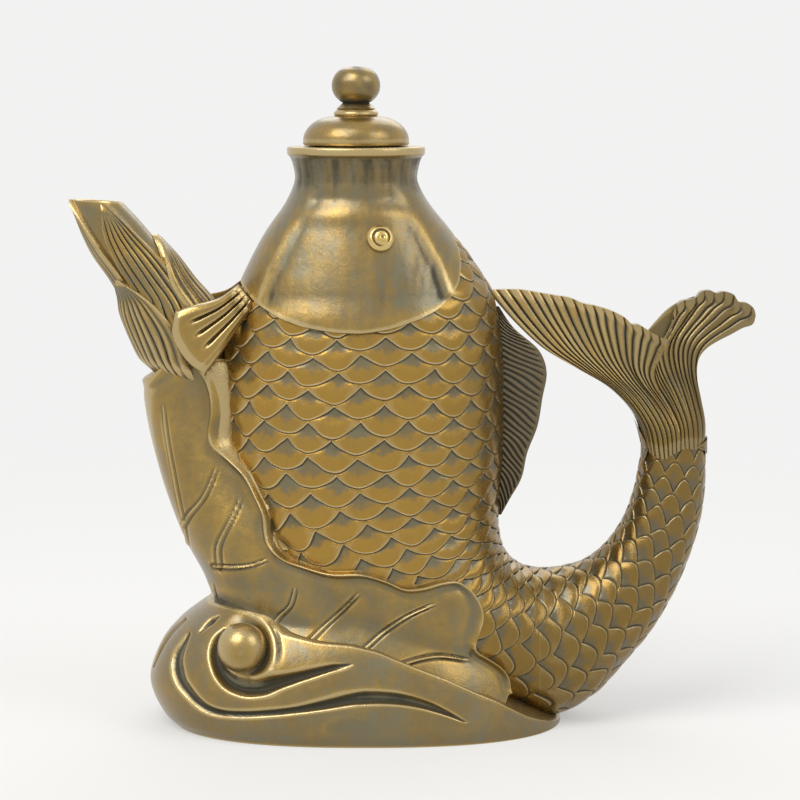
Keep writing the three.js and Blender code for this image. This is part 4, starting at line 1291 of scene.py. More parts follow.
@dataclass
class Fish:
    """Trunk and tail of the carp under its scales, and its fins."""

    shop: Workshop
    around: int = 244
    tail_around: int = 190
    ring_step: float = 0.345
    tail_ring_step: float = 0.26
    tail_fin_ribs: int = 30
    dorsal_fin_ribs: int = 34
    top_pitch: float = 3.7
    low_pitch: float = 4.3
    tail_pitch: float = 4.0
    wall: float = 2.6
    floor_station: float = 8.6
    seam_station: float = 11.7
    nape: tuple[float, ...] = (0.0, 1.0, 1.5, 2.2, 2.0, 1.2)
    limb: Limb = field(default_factory=lambda: Limb(FISH_SECTIONS))

    def close_stations(self) -> Array:
        """Stations so close together that lengths can be summed over them."""
        return np.linspace(0, self.limb.last, 1200)

    def rows_to(self, stations: Array) -> Array:
        """Rows of scales along the limb.

        Args:
            stations: Places, from 0 on.

        Returns:
            The count of rows down to each.
        """
        pitches = [self.top_pitch, self.low_pitch, self.tail_pitch, self.tail_pitch]
        pitch = np.interp(stations, [0, 8, 12, self.limb.last], pitches)
        steps = np.diff(self.limb.middle_lengths(stations))
        return np.concatenate([[0.0], np.cumsum(steps / pitch[1:])])

    def half_skin(self, start: float, end: float, step: float, across: int, hidden: int) -> Shape:
        """Near half of a limb with the places of its scales: hollow above the floor, then full.

        Args:
            start: First station.
            end: Last station.
            step: Distance between rings, in millimetres.
            across: Points from the right to the left.
            hidden: One in how many of these the unseen inner face has too.

        Returns:
            The closed half with its marks.
        """
        every = self.close_stations()
        lengths = self.limb.middle_lengths(every)
        low, high = np.interp([start, end], every, lengths)
        wanted = np.linspace(low, high, int((high - low) / step) + 1)
        stations = np.interp(wanted, lengths, every)
        stations[0], stations[-1] = start, end
        angles = np.linspace(0, math.pi, across)
        grid = self.limb.grid(stations, angles)
        behind = (1 - smooth_step(angles, 0.5, 1.15))[None, :]
        grid[..., 0] += behind * np.interp(grid[..., 2], [98, 106, 109, 112, 118, 121.5], self.nape)
        ends = np.array([0.0, self.limb.last])
        after = self.limb.grid(np.clip(stations + 0.02, *ends), angles)
        before = self.limb.grid(np.clip(stations - 0.02, *ends), angles)
        around = self.limb.grid(stations, angles + 0.01) - self.limb.grid(stations, angles - 0.01)
        outward = np.cross(around, after - before)
        outward /= np.linalg.norm(outward, axis=2, keepdims=True)
        if outward[..., 1].sum() > 0:
            outward = -outward
        rows = self.rows_to(every)
        inland = np.sin(angles)[None, :] ** 0.5
        uneven_rows = 0.14 * fold_noise(grid, 21, 3) + 0.05 * fold_noise(grid, 7, 9)
        uneven_turns = 0.003 * fold_noise(grid, 17, 5) + 0.0012 * fold_noise(grid, 6, 6)
        row = np.interp(wanted, lengths, rows)[:, None] + uneven_rows
        turn = (angles / TURN)[None, :] + uneven_turns * inland
        strength = smooth_step(stations, 0.0, 0.3)[:, None] * np.ones_like(row)
        strength *= np.interp(stations, [0, 12, self.limb.last], [1.0, 0.95, 0.75])[:, None]
        outward[:, [0, -1], 1] = 0
        wall = self.limb.grid(stations, angles[::-1], -self.wall)
        wall[:, [0, -1], 1] = 0
        core = grid[:, ::-1] * [1, 0, 1]
        hollow = 1 - smooth_step(stations, self.floor_station - 0.02, self.floor_station + 0.02)
        back = (core + (wall - core) * hollow[:, None, None])[:, ::hidden]
        ring = np.concatenate([grid, back[:, 1:-1]], axis=1)
        extra = ring.shape[1] - grid.shape[1]
        marks = {"outward": outward, "row": row, "turn": turn, "strength": strength}
        padded = {name: np.concatenate([value, np.zeros((len(value), extra, *value.shape[2:]))], axis=1)
                  for name, value in marks.items()}
        return tube_shape(ring, padded)

    def make_trunk_and_tail(self) -> None:
        """Hollow trunk, and the tail that comes round as the handle, both with a scaled skin."""
        trunk = self.half_skin(0, self.seam_station, self.ring_step, self.around, 14)
        self.shop.pair("fish_trunk_{}", trunk, Slot.AGED, "fish_body", self.shop.scales, sharp=75)
        tail = self.half_skin(self.seam_station, self.limb.last, self.tail_ring_step, self.tail_around, 6)
        self.shop.pair("fish_tail_{}", tail, Slot.AGED, "tail_root", self.shop.scales, sharp=75)

    @staticmethod
    def fin_marks(across: Array, strength: Array) -> dict[str, Array]:
        """Marks for the ribs of a fin, alike on both faces.

        Args:
            across: Shares across the fin.
            strength: How strong the ribs are.

        Returns:
            The marks by name, with directions to each face's own side.
        """
        outward = np.zeros((2, *across.shape, 3))
        for face, flank in zip(outward, Flank):
            face[..., 1] = flank.value
        return {"outward": outward, "across": doubled(across), "strength": doubled(strength)}

    @staticmethod
    def fin_face(side: float, across: Array, along: Array) -> Array:
        """One face of the tail fin without its ribs, whose lobes bend a little apart.

        Args:
            side: Sign of the face's y.
            across: Shares across.
            along: Shares from root to edge.

        Returns:
            Grid of its points.
        """
        flat = coons_patch(TAIL_INNER_EDGE, TAIL_OUTER_EDGE, TAIL_ROOT, TAIL_TOP, across, along)
        oval = np.sqrt(np.maximum(0, 1 - (2 * across - 1) ** 2))[None, :]
        u = along[:, None]
        blade = (4.4 + (1.7 - 4.4) * u) * (0.42 + 0.58 * oval ** 0.6)
        root_depth = 7.35 * oval + 0.5 * (1 - u)
        depth = root_depth + (blade - root_depth) * smooth_step(u, 0, 0.42)
        lobes = 0.9 * np.sin(across * TURN * 1.5)[None, :] * smooth_step(u, 0.35, 1)
        return standing(flat, side * depth + lobes)

    def make_tail_fin(self) -> None:
        """Tail fin: two ribbed lobes from one root, where the ribs run together in pairs."""
        across = np.linspace(0, 1, 409)
        along = np.linspace(0, 1, 119)
        faces = [self.fin_face(flank.value, across, along) for flank in Flank]
        strength = (0.7 + 0.3 * smooth_step(along, 0.0, 0.3))[:, None] * np.ones_like(across)[None, :]
        strength = strength * (1 - smooth_step(np.abs(2 * across - 1), 0.975, 1.0))[None, :]
        sway = across[None, :] + 0.003 * np.sin(across * 37)[None, :] + 0.001 * np.sin(along * 9)[:, None]
        merged = (1 - smooth_step(along, 0.1, 0.52))[:, None] * np.ones_like(across)[None, :]
        marks = {**self.fin_marks(sway, strength), "merged": doubled(merged)}
        self.shop.piece("tail_fin_ribbed", blade_shape(*faces, marks), Slot.WORN, "ewer",
                        ["tail_fin"], self.shop.ribs[Slot.WORN], ribs=self.tail_fin_ribs, relief=0.7,
                        valley=0.42)
        self.make_tail_back_lobe()
        self.make_tail_strips()

    def make_tail_back_lobe(self) -> None:
        """Smooth lobe that curls up behind the gap between the ribbed ones."""
        across = np.linspace(0, 1, 60)
        along = np.linspace(0, 1, 40)
        left = [(56.5, 90), (57.8, 95), (59.1, 98.1)]
        right = [(66, 90), (68, 98), (70.4, 106.4)]
        top = [(59.1, 98.1), (61.1, 100.4), (63.7, 103.1), (66.4, 104.9), (70.4, 106.4)]
        flat = coons_patch(left, right, [left[0], right[0]], top, across, along)
        curl = 1.4 * (1 - along[:, None]) ** 2 + 0 * across[None, :]
        thick = 0.5 + 0.35 * np.sin(across * math.pi)[None, :] + 0 * along[:, None]
        faces = [standing(flat, 1.6 - curl + flank.value * thick) for flank in Flank]
        self.shop.piece("tail_fin_back_lobe", blade_shape(*faces), Slot.WORN, "ewer", ["tail_fin"])

    def make_tail_strips(self) -> None:
        """Narrow scaled strips that run up both edges of the fin from the tail's last scales."""
        face = self.fin_face(-1, np.linspace(0, 1, 201), np.linspace(0, 0.5, 90))
        last_row = self.rows_to(self.close_stations())[-1]
        low = self.limb.points(self.limb.last, 0.0)[2]
        for name, turns, reach in (("inner", (0.78, 1.0), 6.8), ("outer", (0.26, 0.0), 1.9)):
            angles = np.linspace(*turns, 40) * math.pi
            share = np.abs(angles / math.pi - turns[0]) / abs(turns[1] - turns[0])
            climb = np.linspace(-1.2, 1, 46)[:, None] * (reach * share + 0.15)[None, :]
            near = np.zeros((*climb.shape, 3))
            for j, angle in enumerate(angles):
                column = face[:, int(round((1 + math.cos(angle)) * 100))]
                heights = np.minimum(low + climb[:, j], column[-1, 2])
                for k in (0, 1):
                    near[:, j, k] = np.interp(heights, column[:, 2], column[:, k])
                near[:, j, 2] = heights
            outward = np.array([math.copysign(0.45, 0.5 - turns[1]), -0.4, 0]) * share[None, :, None] ** 0.5
            near = near + outward
            far = near * [1, 0, 1]
            row = last_row + climb / self.tail_pitch
            turn = (angles / TURN)[None, :] + 0 * climb
            marks = {"row": doubled(row), "turn": doubled(turn),
                     "strength": doubled(np.full_like(climb, 0.75)),
                     "outward": np.stack([0 * near + [0, -0.4, 0], 0 * near])}
            self.shop.pair(f"fish_tail_strip_{name}_{{}}", blade_shape(near, far, marks), Slot.AGED,
                           "tail_root", self.shop.scales, sharp=75)

    def make_dorsal_fin(self) -> None:
        """Ribbed fin on the back, in the dark finish that paints on it the shade of the tail lobe."""
        across = np.linspace(0, 1, 241)
        along = np.linspace(0, 1, 36)
        flat = coons_patch([DORSAL_ROOT[0], DORSAL_EDGE[0]], [DORSAL_ROOT[-1], DORSAL_EDGE[-1]],
                           DORSAL_ROOT, DORSAL_EDGE, across, along)
        thick = 1.7 - 1.0 * along[:, None] + 0 * across[None, :]
        bend = 1.5 * np.sin(along * math.pi / 2)[:, None] * np.sin(across * math.pi)[None, :]
        faces = [standing(flat, flank.value * thick - bend) for flank in Flank]
        slanted = across[None, :] - 0.17 * along[:, None] + 0.004 * np.sin(across * 41)[None, :]
        strength = smooth_step(along, 0, 0.1) * (1 - smooth_step(along, 0.9, 1.0))
        marks = self.fin_marks(slanted, strength[:, None] * np.ones_like(across))
        self.shop.piece("dorsal_fin_ribbed", blade_shape(*faces, marks), Slot.DARK, "ewer",
                        ["dorsal_fin"], self.shop.ribs[Slot.DARK], ribs=self.dorsal_fin_ribs, relief=0.5,
                        valley=0.7)

    def make_pectoral_fins(self) -> None:
        """Fin on each flank, with deep grooves that run in from its root."""
        across = np.linspace(0, 1, 97)
        along = np.linspace(0, 1, 64)
        root = [PECTORAL_LOWER[0], PECTORAL_UPPER[0]]
        flat = coons_patch(PECTORAL_LOWER, PECTORAL_UPPER, root, PECTORAL_TIP, across, along)
        u, v = along[:, None], across[None, :]
        middle = -9.4 - 6.4 * np.sin(u * math.pi / 2) + 0 * v
        edge = np.minimum(np.minimum(v, 1 - v) * 9, 1) ** 0.5 * np.minimum((1.001 - u) * 14, 1) ** 0.5
        crown = (3.1 - 1.3 * u) * (0.35 + 0.65 * edge)
        groove = sum(bump((v - place) * 12, 0.33) for place in (0.27, 0.5, 0.73))
        ends = smooth_step(u, 0.0, 0.1) * (1 - smooth_step(u, 0.62, 0.78))
        collar = bump(u - 0.1, 0.05) * 0.7
        near = standing(flat, middle - crown + 0.95 * groove * ends - collar)
        shape = blade_shape(near, standing(flat, middle + 1.2 + 0 * v))
        shape.marks["tone"] = np.full(len(shape.points), 0.5)
        self.shop.pair("pectoral_fin_{}_grooved", shape, Slot.WORN, "pectoral_fin_{}")

    def make(self) -> None:
        """Makes every piece of the fish below the head."""
        self.make_trunk_and_tail()
        self.make_tail_fin()
        self.make_dorsal_fin()
        self.make_pectoral_fins()


@dataclass
class Head:
    """Head with its gill cover, neck and lip, and the two eyes."""

    shop: Workshop
    around: int = 288
    eye_x: float = -7.6
    eye_z: float = 122.2
    eye_radius: float = 3.3
    limb: Limb = field(default_factory=lambda: Limb(HEAD_SECTIONS, 2.15))
    throat: Limb = field(default_factory=lambda: Limb(THROAT_SECTIONS))

    def edge_stations(self, angles: Array) -> Array:
        """Where the gill cover's free edge lies.

        Args:
            angles: Angles round the head.

        Returns:
            A station for each.
        """
        stations = np.linspace(3, self.limb.last, 700)
        grid = self.limb.grid(stations, angles)
        outline = [*GILL_EDGE, (80, 200), (-80, 200)]
        inside = inside_outline(grid[..., [0, 2]].reshape(-1, 2), outline).reshape(grid.shape[:2])
        first_out = np.argmin(inside, axis=0)
        return softened(stations[first_out], 3, True)

    def relief(self, grid: Array) -> Array:
        """Soft creases that bound a flatter cheek, and a hand-worked unevenness.

        Args:
            grid: Points of the skin.

        Returns:
            How far out each goes.
        """
        flat = grid[..., [0, 2]].reshape(-1, 2)
        left, _, left_side = line_distance(flat, CHEEK_LEFT)
        right, _, right_side = line_distance(flat, CHEEK_RIGHT)
        within = smooth_step(left * left_side, -1.0, 2.2) * smooth_step(-right * right_side, -1.0, 2.2)
        level = smooth_step(flat[:, 1], 102, 109) * (1 - smooth_step(flat[:, 1], 131, 135))
        flank = smooth_step(np.abs(grid[..., 1]).reshape(-1), 3, 9)
        brow = 0.5 * bump(flat[:, 1] - 128, 2.4) * within
        depth = (brow - 0.8 * within * level) * flank
        return depth.reshape(grid.shape[:2]) + 0.09 * fold_noise(grid, 24, 8)

    def make_shell(self) -> None:
        """Head as a shell: outer skin, free edge, underside and throat."""
        angles = np.linspace(0, TURN, self.around, endpoint=False)
        ends = self.edge_stations(angles)
        share = np.concatenate([np.linspace(0, 0.3, 40, endpoint=False), np.linspace(0.3, 1, 150)])
        stations = 1.0 + share[:, None] * (ends - 1.0)[None, :]
        outer = self.limb.points(stations, angles[None, :])
        away = directions(outer)
        worked = self.relief(outer) * smooth_step(stations, 3.2, 5)
        outer = outer + away * worked[..., None]
        lip_round = [self.limb.points(0.0, angles, off) + [0, 0, drop]
                     for off, drop in ((-1.2, 0.0), (-0.5, 0.0), (-0.15, -0.12), (0.0, -0.45), (0.0, -1.1))]
        thick = [outer[-1] - away[-1] * back + np.array([0, 0, -drop])
                 for back, drop in ((0.35, 0.16), (0.8, 0.1), (1.4, -0.2), (2.4, -0.5))]
        under = self.throat.grid(np.linspace(self.throat.last, 0.12, 40), angles)
        top = under[-1] + np.array([0, 0, LIP_TOP_Z - under[-1, 0, 2]])
        rings = [*lip_round, *outer, *thick, *under, top]
        grid = np.array(rings)
        shape = tube_shape(grid, {"tone": self.neck_tone(grid)}, looped=True)
        self.shop.piece("head_shell", shape, Slot.AGED, "ewer", ["fish_head"], sharp=60)

    @staticmethod
    def neck_tone(grid: Array) -> Array:
        """Dark streaks down the neck under a lip that is rubbed golden and carries a painted highlight, and
        painted shade on the right cheek.

        Args:
            grid: Points of the shell.

        Returns:
            A tone for each.
        """
        height = grid[..., 2]
        drawn = grid * [1, 1, 0.12]
        streaks = 0.6 * fold_noise(drawn, 6, 31) + 0.5 * fold_noise(drawn, 2.2, 32)
        band = smooth_step(height, 128, 136) * (1 - smooth_step(height, 140.6, 141.8))
        # lip: rubbed golden, and a painted highlight through the raised tone
        lip = smooth_step(height, 141.6, 142.6)
        # painted shade on the right cheek
        cheek = bump(grid[..., 0] - 1, 9) * bump(height - 113, 9) * (grid[..., 0] < 9)
        low = (0.3 * streaks - 0.6 * cheek) * (height < 131)
        return band * (-0.6 + 0.34 * streaks) + lip * (0.5 + 0.4 * streaks) + low

    def seat(self) -> tuple[Array, Array]:
        """Place and outward direction of the near eye on the cheek.

        Returns:
            The place and the direction.
        """
        above, below = HEAD_SECTIONS[6][1], HEAD_SECTIONS[7][1]
        station = 6 + (above - self.eye_z) / (above - below)
        right = self.limb.points(station, 0.0)[0]
        left = self.limb.points(station, math.pi)[0]
        share = (2 * self.eye_x - right - left) / (right - left)
        angle = math.acos(math.copysign(abs(share) ** (1 / self.limb.power), share))
        place = self.limb.points(station, angle)
        beside = self.limb.points(station, angle - 0.02) - place
        lower = self.limb.points(station + 0.05, angle) - place
        way = np.cross(beside, lower)
        way = way / np.linalg.norm(way)
        return place, way if way[1] < 0 else -way

    def make_eyes(self) -> None:
        """Domed studs with an engraved ring and a pupil, set in the cheeks."""
        place, way = self.seat()
        rings = np.linspace(0, 1, 46)[1:]
        height = 2.3 * np.sqrt(1 - (rings * 0.95) ** 2) - 0.35
        profile = [(0, height[0]), *zip(rings * self.eye_radius, height),
                   (self.eye_radius + 0.12, -0.2), (self.eye_radius + 0.05, -1.2), (0, -1.2)]
        stud = turned_shape(profile, 0.0, 96)
        x, y = stud.points[:, 0], stud.points[:, 1]
        from_ring = np.hypot(x, y + 0.1) - 0.6 * self.eye_radius
        open_side = bump(np.hypot(x - 1.2, y + 1.6), 1.0)
        pupil = bump(np.hypot(x - 0.25, y), 0.42)
        carved = (stud.points[:, 2] > 0) * (0.5 * bump(from_ring, 0.3) * (1 - open_side) + 0.4 * pupil)
        stud.points[:, 2] -= carved
        up = Vector((0, 0, 1)).rotation_difference(Vector(way)).to_matrix()
        stud.points = stud.points @ np.array(up).T + place - way * 0.5
        self.shop.pair("eye_{}_stud", stud, Slot.BRIGHT, "eye_{}")

    def make(self) -> None:
        """Makes the head and its eyes."""
        self.make_shell()
        self.make_eyes()


@dataclass
class Spout:
    """Lotus bud: a bored core under six grooved petals."""

    shop: Workshop
    petal_thickness: float = 1.0
    wall_step: float = 1.1
    limb: Limb = field(default_factory=lambda: Limb(SPOUT_SECTIONS))
    bore: Limb = field(default_factory=lambda: Limb(BORE_SECTIONS))

    def core_offset(self, station: Array) -> Array:
        """How far the core lies under the bud's outline."""
        return -(CLEARANCE + self.petal_thickness + self.wall_step * smooth_step(station, 2.5, 4.2))

    def make_core(self) -> None:
        """Core of the bud with its bore, open at the slanted mouth."""
        angles = np.linspace(0, TURN, 120, endpoint=False)
        stations = np.linspace(0, 13, 170)
        outer = self.limb.grid(stations, angles, self.core_offset(stations))
        lips = [outer[0] * (1 - t) + self.bore.grid(np.array([0.55]), angles)[0] * t for t in (0.25, 0.75)]
        lips = [ring + np.array([0, 0, lift]) for ring, lift in zip(lips, (0.1, 0.0))]
        inner = self.bore.grid(np.linspace(self.bore.last, 0.7, 50), angles)
        shape = tube_shape(np.array([*inner, *lips[::-1], *outer]))
        self.shop.piece("spout_core", shape, Slot.AGED, "ewer", ["spout_tube"])

    def petal(self, centre: float, spread: float, start: float, end: float, layer: float,
              lean: float = 0.0, tuck: float = 0.0) -> Shape:
        """Petal that lies on the core.

        Args:
            centre: Angle of its middle in degrees, 0 right, 90 near, 180 left.
            spread: Half of its angle.
            start: Station of its apex.
            end: Station of its root.
            layer: 0 on the core, 1 over the first petals.
            lean: How far its apex leans round from its root, in degrees.
            tuck: How deep its root goes under the leaf.

        Returns:
            The petal with the marks of its grooves.
        """
        along = np.linspace(0, 1, 110)
        across = np.linspace(0, 1, 121)
        u, w = along[:, None], (2 * across - 1)[None, :]
        width = np.maximum(0.012, np.sin(math.pi * np.minimum(0.6, 0.004 + u * 0.8)) ** 0.72)
        station = start + (end - start) * u + 0 * w
        angle = np.radians(centre + lean * (1 - u) + w * spread * width)
        inner = CLEARANCE + layer * (self.petal_thickness + CLEARANCE)
        thickness = self.petal_thickness - 0.2 * layer
        crown = (1 - np.abs(w) ** 2.4) ** 0.5 * 0.4 + 0.5 + 0.3 * bump(np.abs(w) - 0.86, 0.09)
        base = self.core_offset(station) - tuck * smooth_step(u, 0.8, 1.0)
        swell = thickness * crown * (0.55 + 0.45 * smooth_step(u, 0, 0.06))
        near = self.limb.points(station, angle, base + inner + swell)
        far = self.limb.points(station, angle, base + inner - 0.9)
        outward = near - far
        outward /= np.linalg.norm(outward, axis=2, keepdims=True)
        rim = 1 - smooth_step(np.abs(w), 0.7, 0.82)
        strength = smooth_step(u, 0.05, 0.3) * rim
        quiet = np.zeros_like(strength)
        shares = across[None, :] + 0.012 * np.sin(across * 19 + centre)[None, :] * np.cos(u * 7)
        marks = {"outward": doubled(outward), "across": doubled(shares),
                 "strength": np.stack([strength, quiet])}
        return blade_shape(near, far, marks)

    def make_petals(self) -> None:
        """The six petals, two of them in pairs on the flanks."""
        ribs = self.shop.ribs[Slot.WORN]
        upper = self.petal(88, 40, 0.1, 6.6, 0, lean=-9)
        lower = self.petal(133, 45, 3.9, 9.4, 1, tuck=3.4)
        for kind, shape, count in (("upper", upper, 7), ("lower", lower, 9)):
            name = f"spout_petal_{kind}_{{}}"
            self.shop.pair(f"{name}_grooved", shape, Slot.WORN, name, ribs, ribs=count, relief=0.7,
                           valley=0.36)
        for kind, shape in (("side", self.petal(180, 52, 0, 5.6, 0)),
                            ("inner", self.petal(0, 66, 1.9, 6.8, 0.55))):
            name = f"spout_petal_{kind}"
            self.shop.piece(f"{name}_grooved", shape, Slot.WORN, "ewer", [name], ribs,
                            ribs=9, relief=0.6, valley=0.36)

    def make(self) -> None:
        """Makes the spout."""
        self.make_core()
        self.make_petals()


class Wrap:
    """Sheet laid round the belly and the stalk: a place is a turn from the left, a height and a lift."""

    start = 150.0
    softened_upward = 16
    softened_round = 26

    def __init__(self, forms: Sequence[Limb], insets: Sequence[Callable[[Array], Array]]) -> None:
        """Measures how far out the forms reach at every turn and height, softened where they meet.

        Args:
            forms: The limbs that it goes round.
            insets: How far out of each its skin counts, by station.
        """
        self.heights = np.linspace(4, 94, 181)
        self.turns = np.linspace(0, math.pi, 161)
        trees = []
        for form, inset in zip(forms, insets):
            stations = np.linspace(0, form.last, 160)
            angles = np.linspace(0, TURN, 96, endpoint=False)
            skin = tube_shape(form.grid(stations, angles, inset(stations)))
            trees.append(BVHTree.FromPolygons(skin.points.tolist(), skin.faces))
        radius = np.zeros((len(self.heights), len(self.turns)))
        for i, z in enumerate(self.heights):
            for j, turn in enumerate(self.turns):
                way = Vector((-math.cos(turn), -math.sin(turn), 0))
                origin = Vector((float(self.axis(z)), 0, float(z))) + way * self.start
                for tree in trees:
                    hit = tree.ray_cast(origin, -way, self.start)
                    if hit[0] is not None:
                        radius[i, j] = max(radius[i, j], self.start - hit[3])
        radius = softened(radius, self.softened_upward, False)
        self.radius = softened(radius.T, self.softened_round, False).T

    @staticmethod
    def axis(height: Array) -> Array:
        """Place of the middle at a height: under the trunk at the top, nearer the tail low down."""
        return 6.0 - 31.0 * smooth_step(np.asarray(height, float), 2.0, 72.0)

    def reach(self, turn: Array, height: Array) -> Array:
        """Distance from the axis to the sheet's underside.

        Args:
            turn: Turns from the left.
            height: Heights.

        Returns:
            The distances.
        """
        level, bearing = self.heights, self.turns
        i = np.clip((height - level[0]) / (level[1] - level[0]), 0, len(level) - 1.001)
        j = np.clip(np.abs(turn) / (bearing[1] - bearing[0]), 0, len(bearing) - 1.001)
        a, b = i.astype(int), j.astype(int)
        s, t = i - a, j - b
        r = self.radius
        return ((r[a, b] * (1 - t) + r[a, b + 1] * t) * (1 - s)
                + (r[a + 1, b] * (1 - t) + r[a + 1, b + 1] * t) * s)

    def points(self, turn: Array, height: Array, lift: Array) -> Array:
        """Points at turns and heights, lifted off the forms."""
        reach = self.reach(turn, height) + lift
        return np.stack([self.axis(height) - reach * np.cos(turn), -reach * np.sin(turn), height], axis=-1)

    def turn_at(self, x: float, height: float) -> float:
        """Turn at which the sheet has an x on the near flank.

        Args:
            x: The place wanted.
            height: Its height.

        Returns:
            The turn from the left.
        """
        turns = np.linspace(0, math.pi, 400)
        level = np.full_like(turns, height)
        xs = self.points(turns, level, np.zeros_like(turns))[:, 0]
        return float(np.interp(x, np.maximum.accumulate(xs), turns))


@dataclass
class Leaf:
    """Lotus leaf wrapped round the belly, with a rolled rim and raised veins."""

    shop: Workshop
    wrap: Wrap
    thickness: float = 1.7
    stalk_lift: float = 2.0
    rim_height: float = 0.85
    rim_width: float = 0.7
    mean_reach: float = 34.0
    foot_bias: float = 1.45
    hidden_step: int = 8

    def surface(self) -> tuple[Array, Array, Array]:
        """Lays out the leaf's grid.

        Returns:
            Turns, heights and distances to the free edge.
        """
        along = np.linspace(0, 1, 430)
        up = 1 - (1 - np.linspace(0, 1, 170)) ** 1.2
        edge = Spline(LEAF_EDGE).at(along)
        foot = Spline([(-52, 25.5), *LEAF_FOOT]).at(along ** self.foot_bias)
        scale = self.mean_reach
        edge_turn = np.array([self.wrap.turn_at(x, z) for x, z in edge]) * scale
        foot_turn = np.array([self.wrap.turn_at(x, z) for x, z in foot]) * scale
        edge_turn = softened(edge_turn, 4, False)
        edge_turn[0] = foot_turn[0] = 0
        top = np.stack([edge_turn, edge[:, 1]], axis=-1)
        bottom = np.stack([foot_turn, foot[:, 1]], axis=-1)
        v = up[None, :, None]
        grid = bottom[:, None] * (1 - v) + top[:, None] * v
        gap, _, _ = line_distance(grid.reshape(-1, 2), top[::3])
        return grid[..., 0] / scale, grid[..., 1], gap.reshape(grid.shape[:2])

    def lift(self, points: Array, turn: Array, gap: Array) -> Array:
        """How far the leaf stands off the belly: soft waves, a rolled rim, veins and grooves.

        Args:
            points: The grid's points on the belly.
            turn: Their turns.
            gap: Distances to the free edge.

        Returns:
            The lift of each.
        """
        flat = points[..., [0, 2]].reshape(-1, 2)
        waves = 0.2 * fold_noise(points, 22, 12) + self.stalk_lift * (
            1 - smooth_step(turn, 0.35, 0.95)) * smooth_step(points[..., 2], 27, 36)
        rim = self.rim_height * bump(gap - 0.75, self.rim_width) * smooth_step(points[..., 0], -56, -47)
        trough = -0.2 * bump(gap - 2.6, 1.0)
        fall = -(self.thickness + self.rim_height) * 0.55 * (1 - smooth_step(gap, 0, 0.7))
        veins = np.zeros(len(flat))
        for line in LEAF_VEINS:
            distance, share, _ = line_distance(flat, Spline(line).at(np.linspace(0, 1, 24)))
            slim = 0.8 - 0.3 * share
            ridge = 0.34 * bump(distance, 0.4 * slim)
            grooves = -0.4 * bump(distance - 0.85 * slim, 0.22)
            veins += (ridge + grooves) * (1 - smooth_step(share, 0.85, 1.0))
        for line in LEAF_GROOVES:
            distance, share, _ = line_distance(flat, Spline(line).at(np.linspace(0, 1, 24)))
            veins -= 0.45 * bump(distance, 0.24) * np.sin(math.pi * np.clip(share, 0.02, 0.98)) ** 0.5
        return self.thickness + waves + rim + trough + fall + veins.reshape(gap.shape)

    def make(self) -> None:
        """Makes the leaf on both flanks: an outer face, and an inner face in the belly."""
        turn, height, gap = self.surface()
        flat = self.wrap.points(turn, height, np.zeros_like(turn))
        outer = self.wrap.points(turn, height, self.lift(flat, turn, gap))
        back = slice(None, None, -self.hidden_step)
        depth = -3.2 - 2.4 * smooth_step(flat[:, back, 0], -50, -42)
        inner = self.wrap.points(turn[:, back], height[:, back], depth)
        shape = tube_shape(np.concatenate([outer, inner], axis=1))
        tone = 0.34 + 0.16 * fold_noise(outer, 9, 14)
        # painted shade: the hidden inner face, and the edge wall down to it, get the darkest tone
        shape.marks["tone"] = np.concatenate([tone, np.full(inner.shape[:2], -1.0)], axis=1).reshape(-1)
        self.shop.pair("lotus_leaf_veined_{}", shape, Slot.WORN, "lotus_leaf", sharp=60)


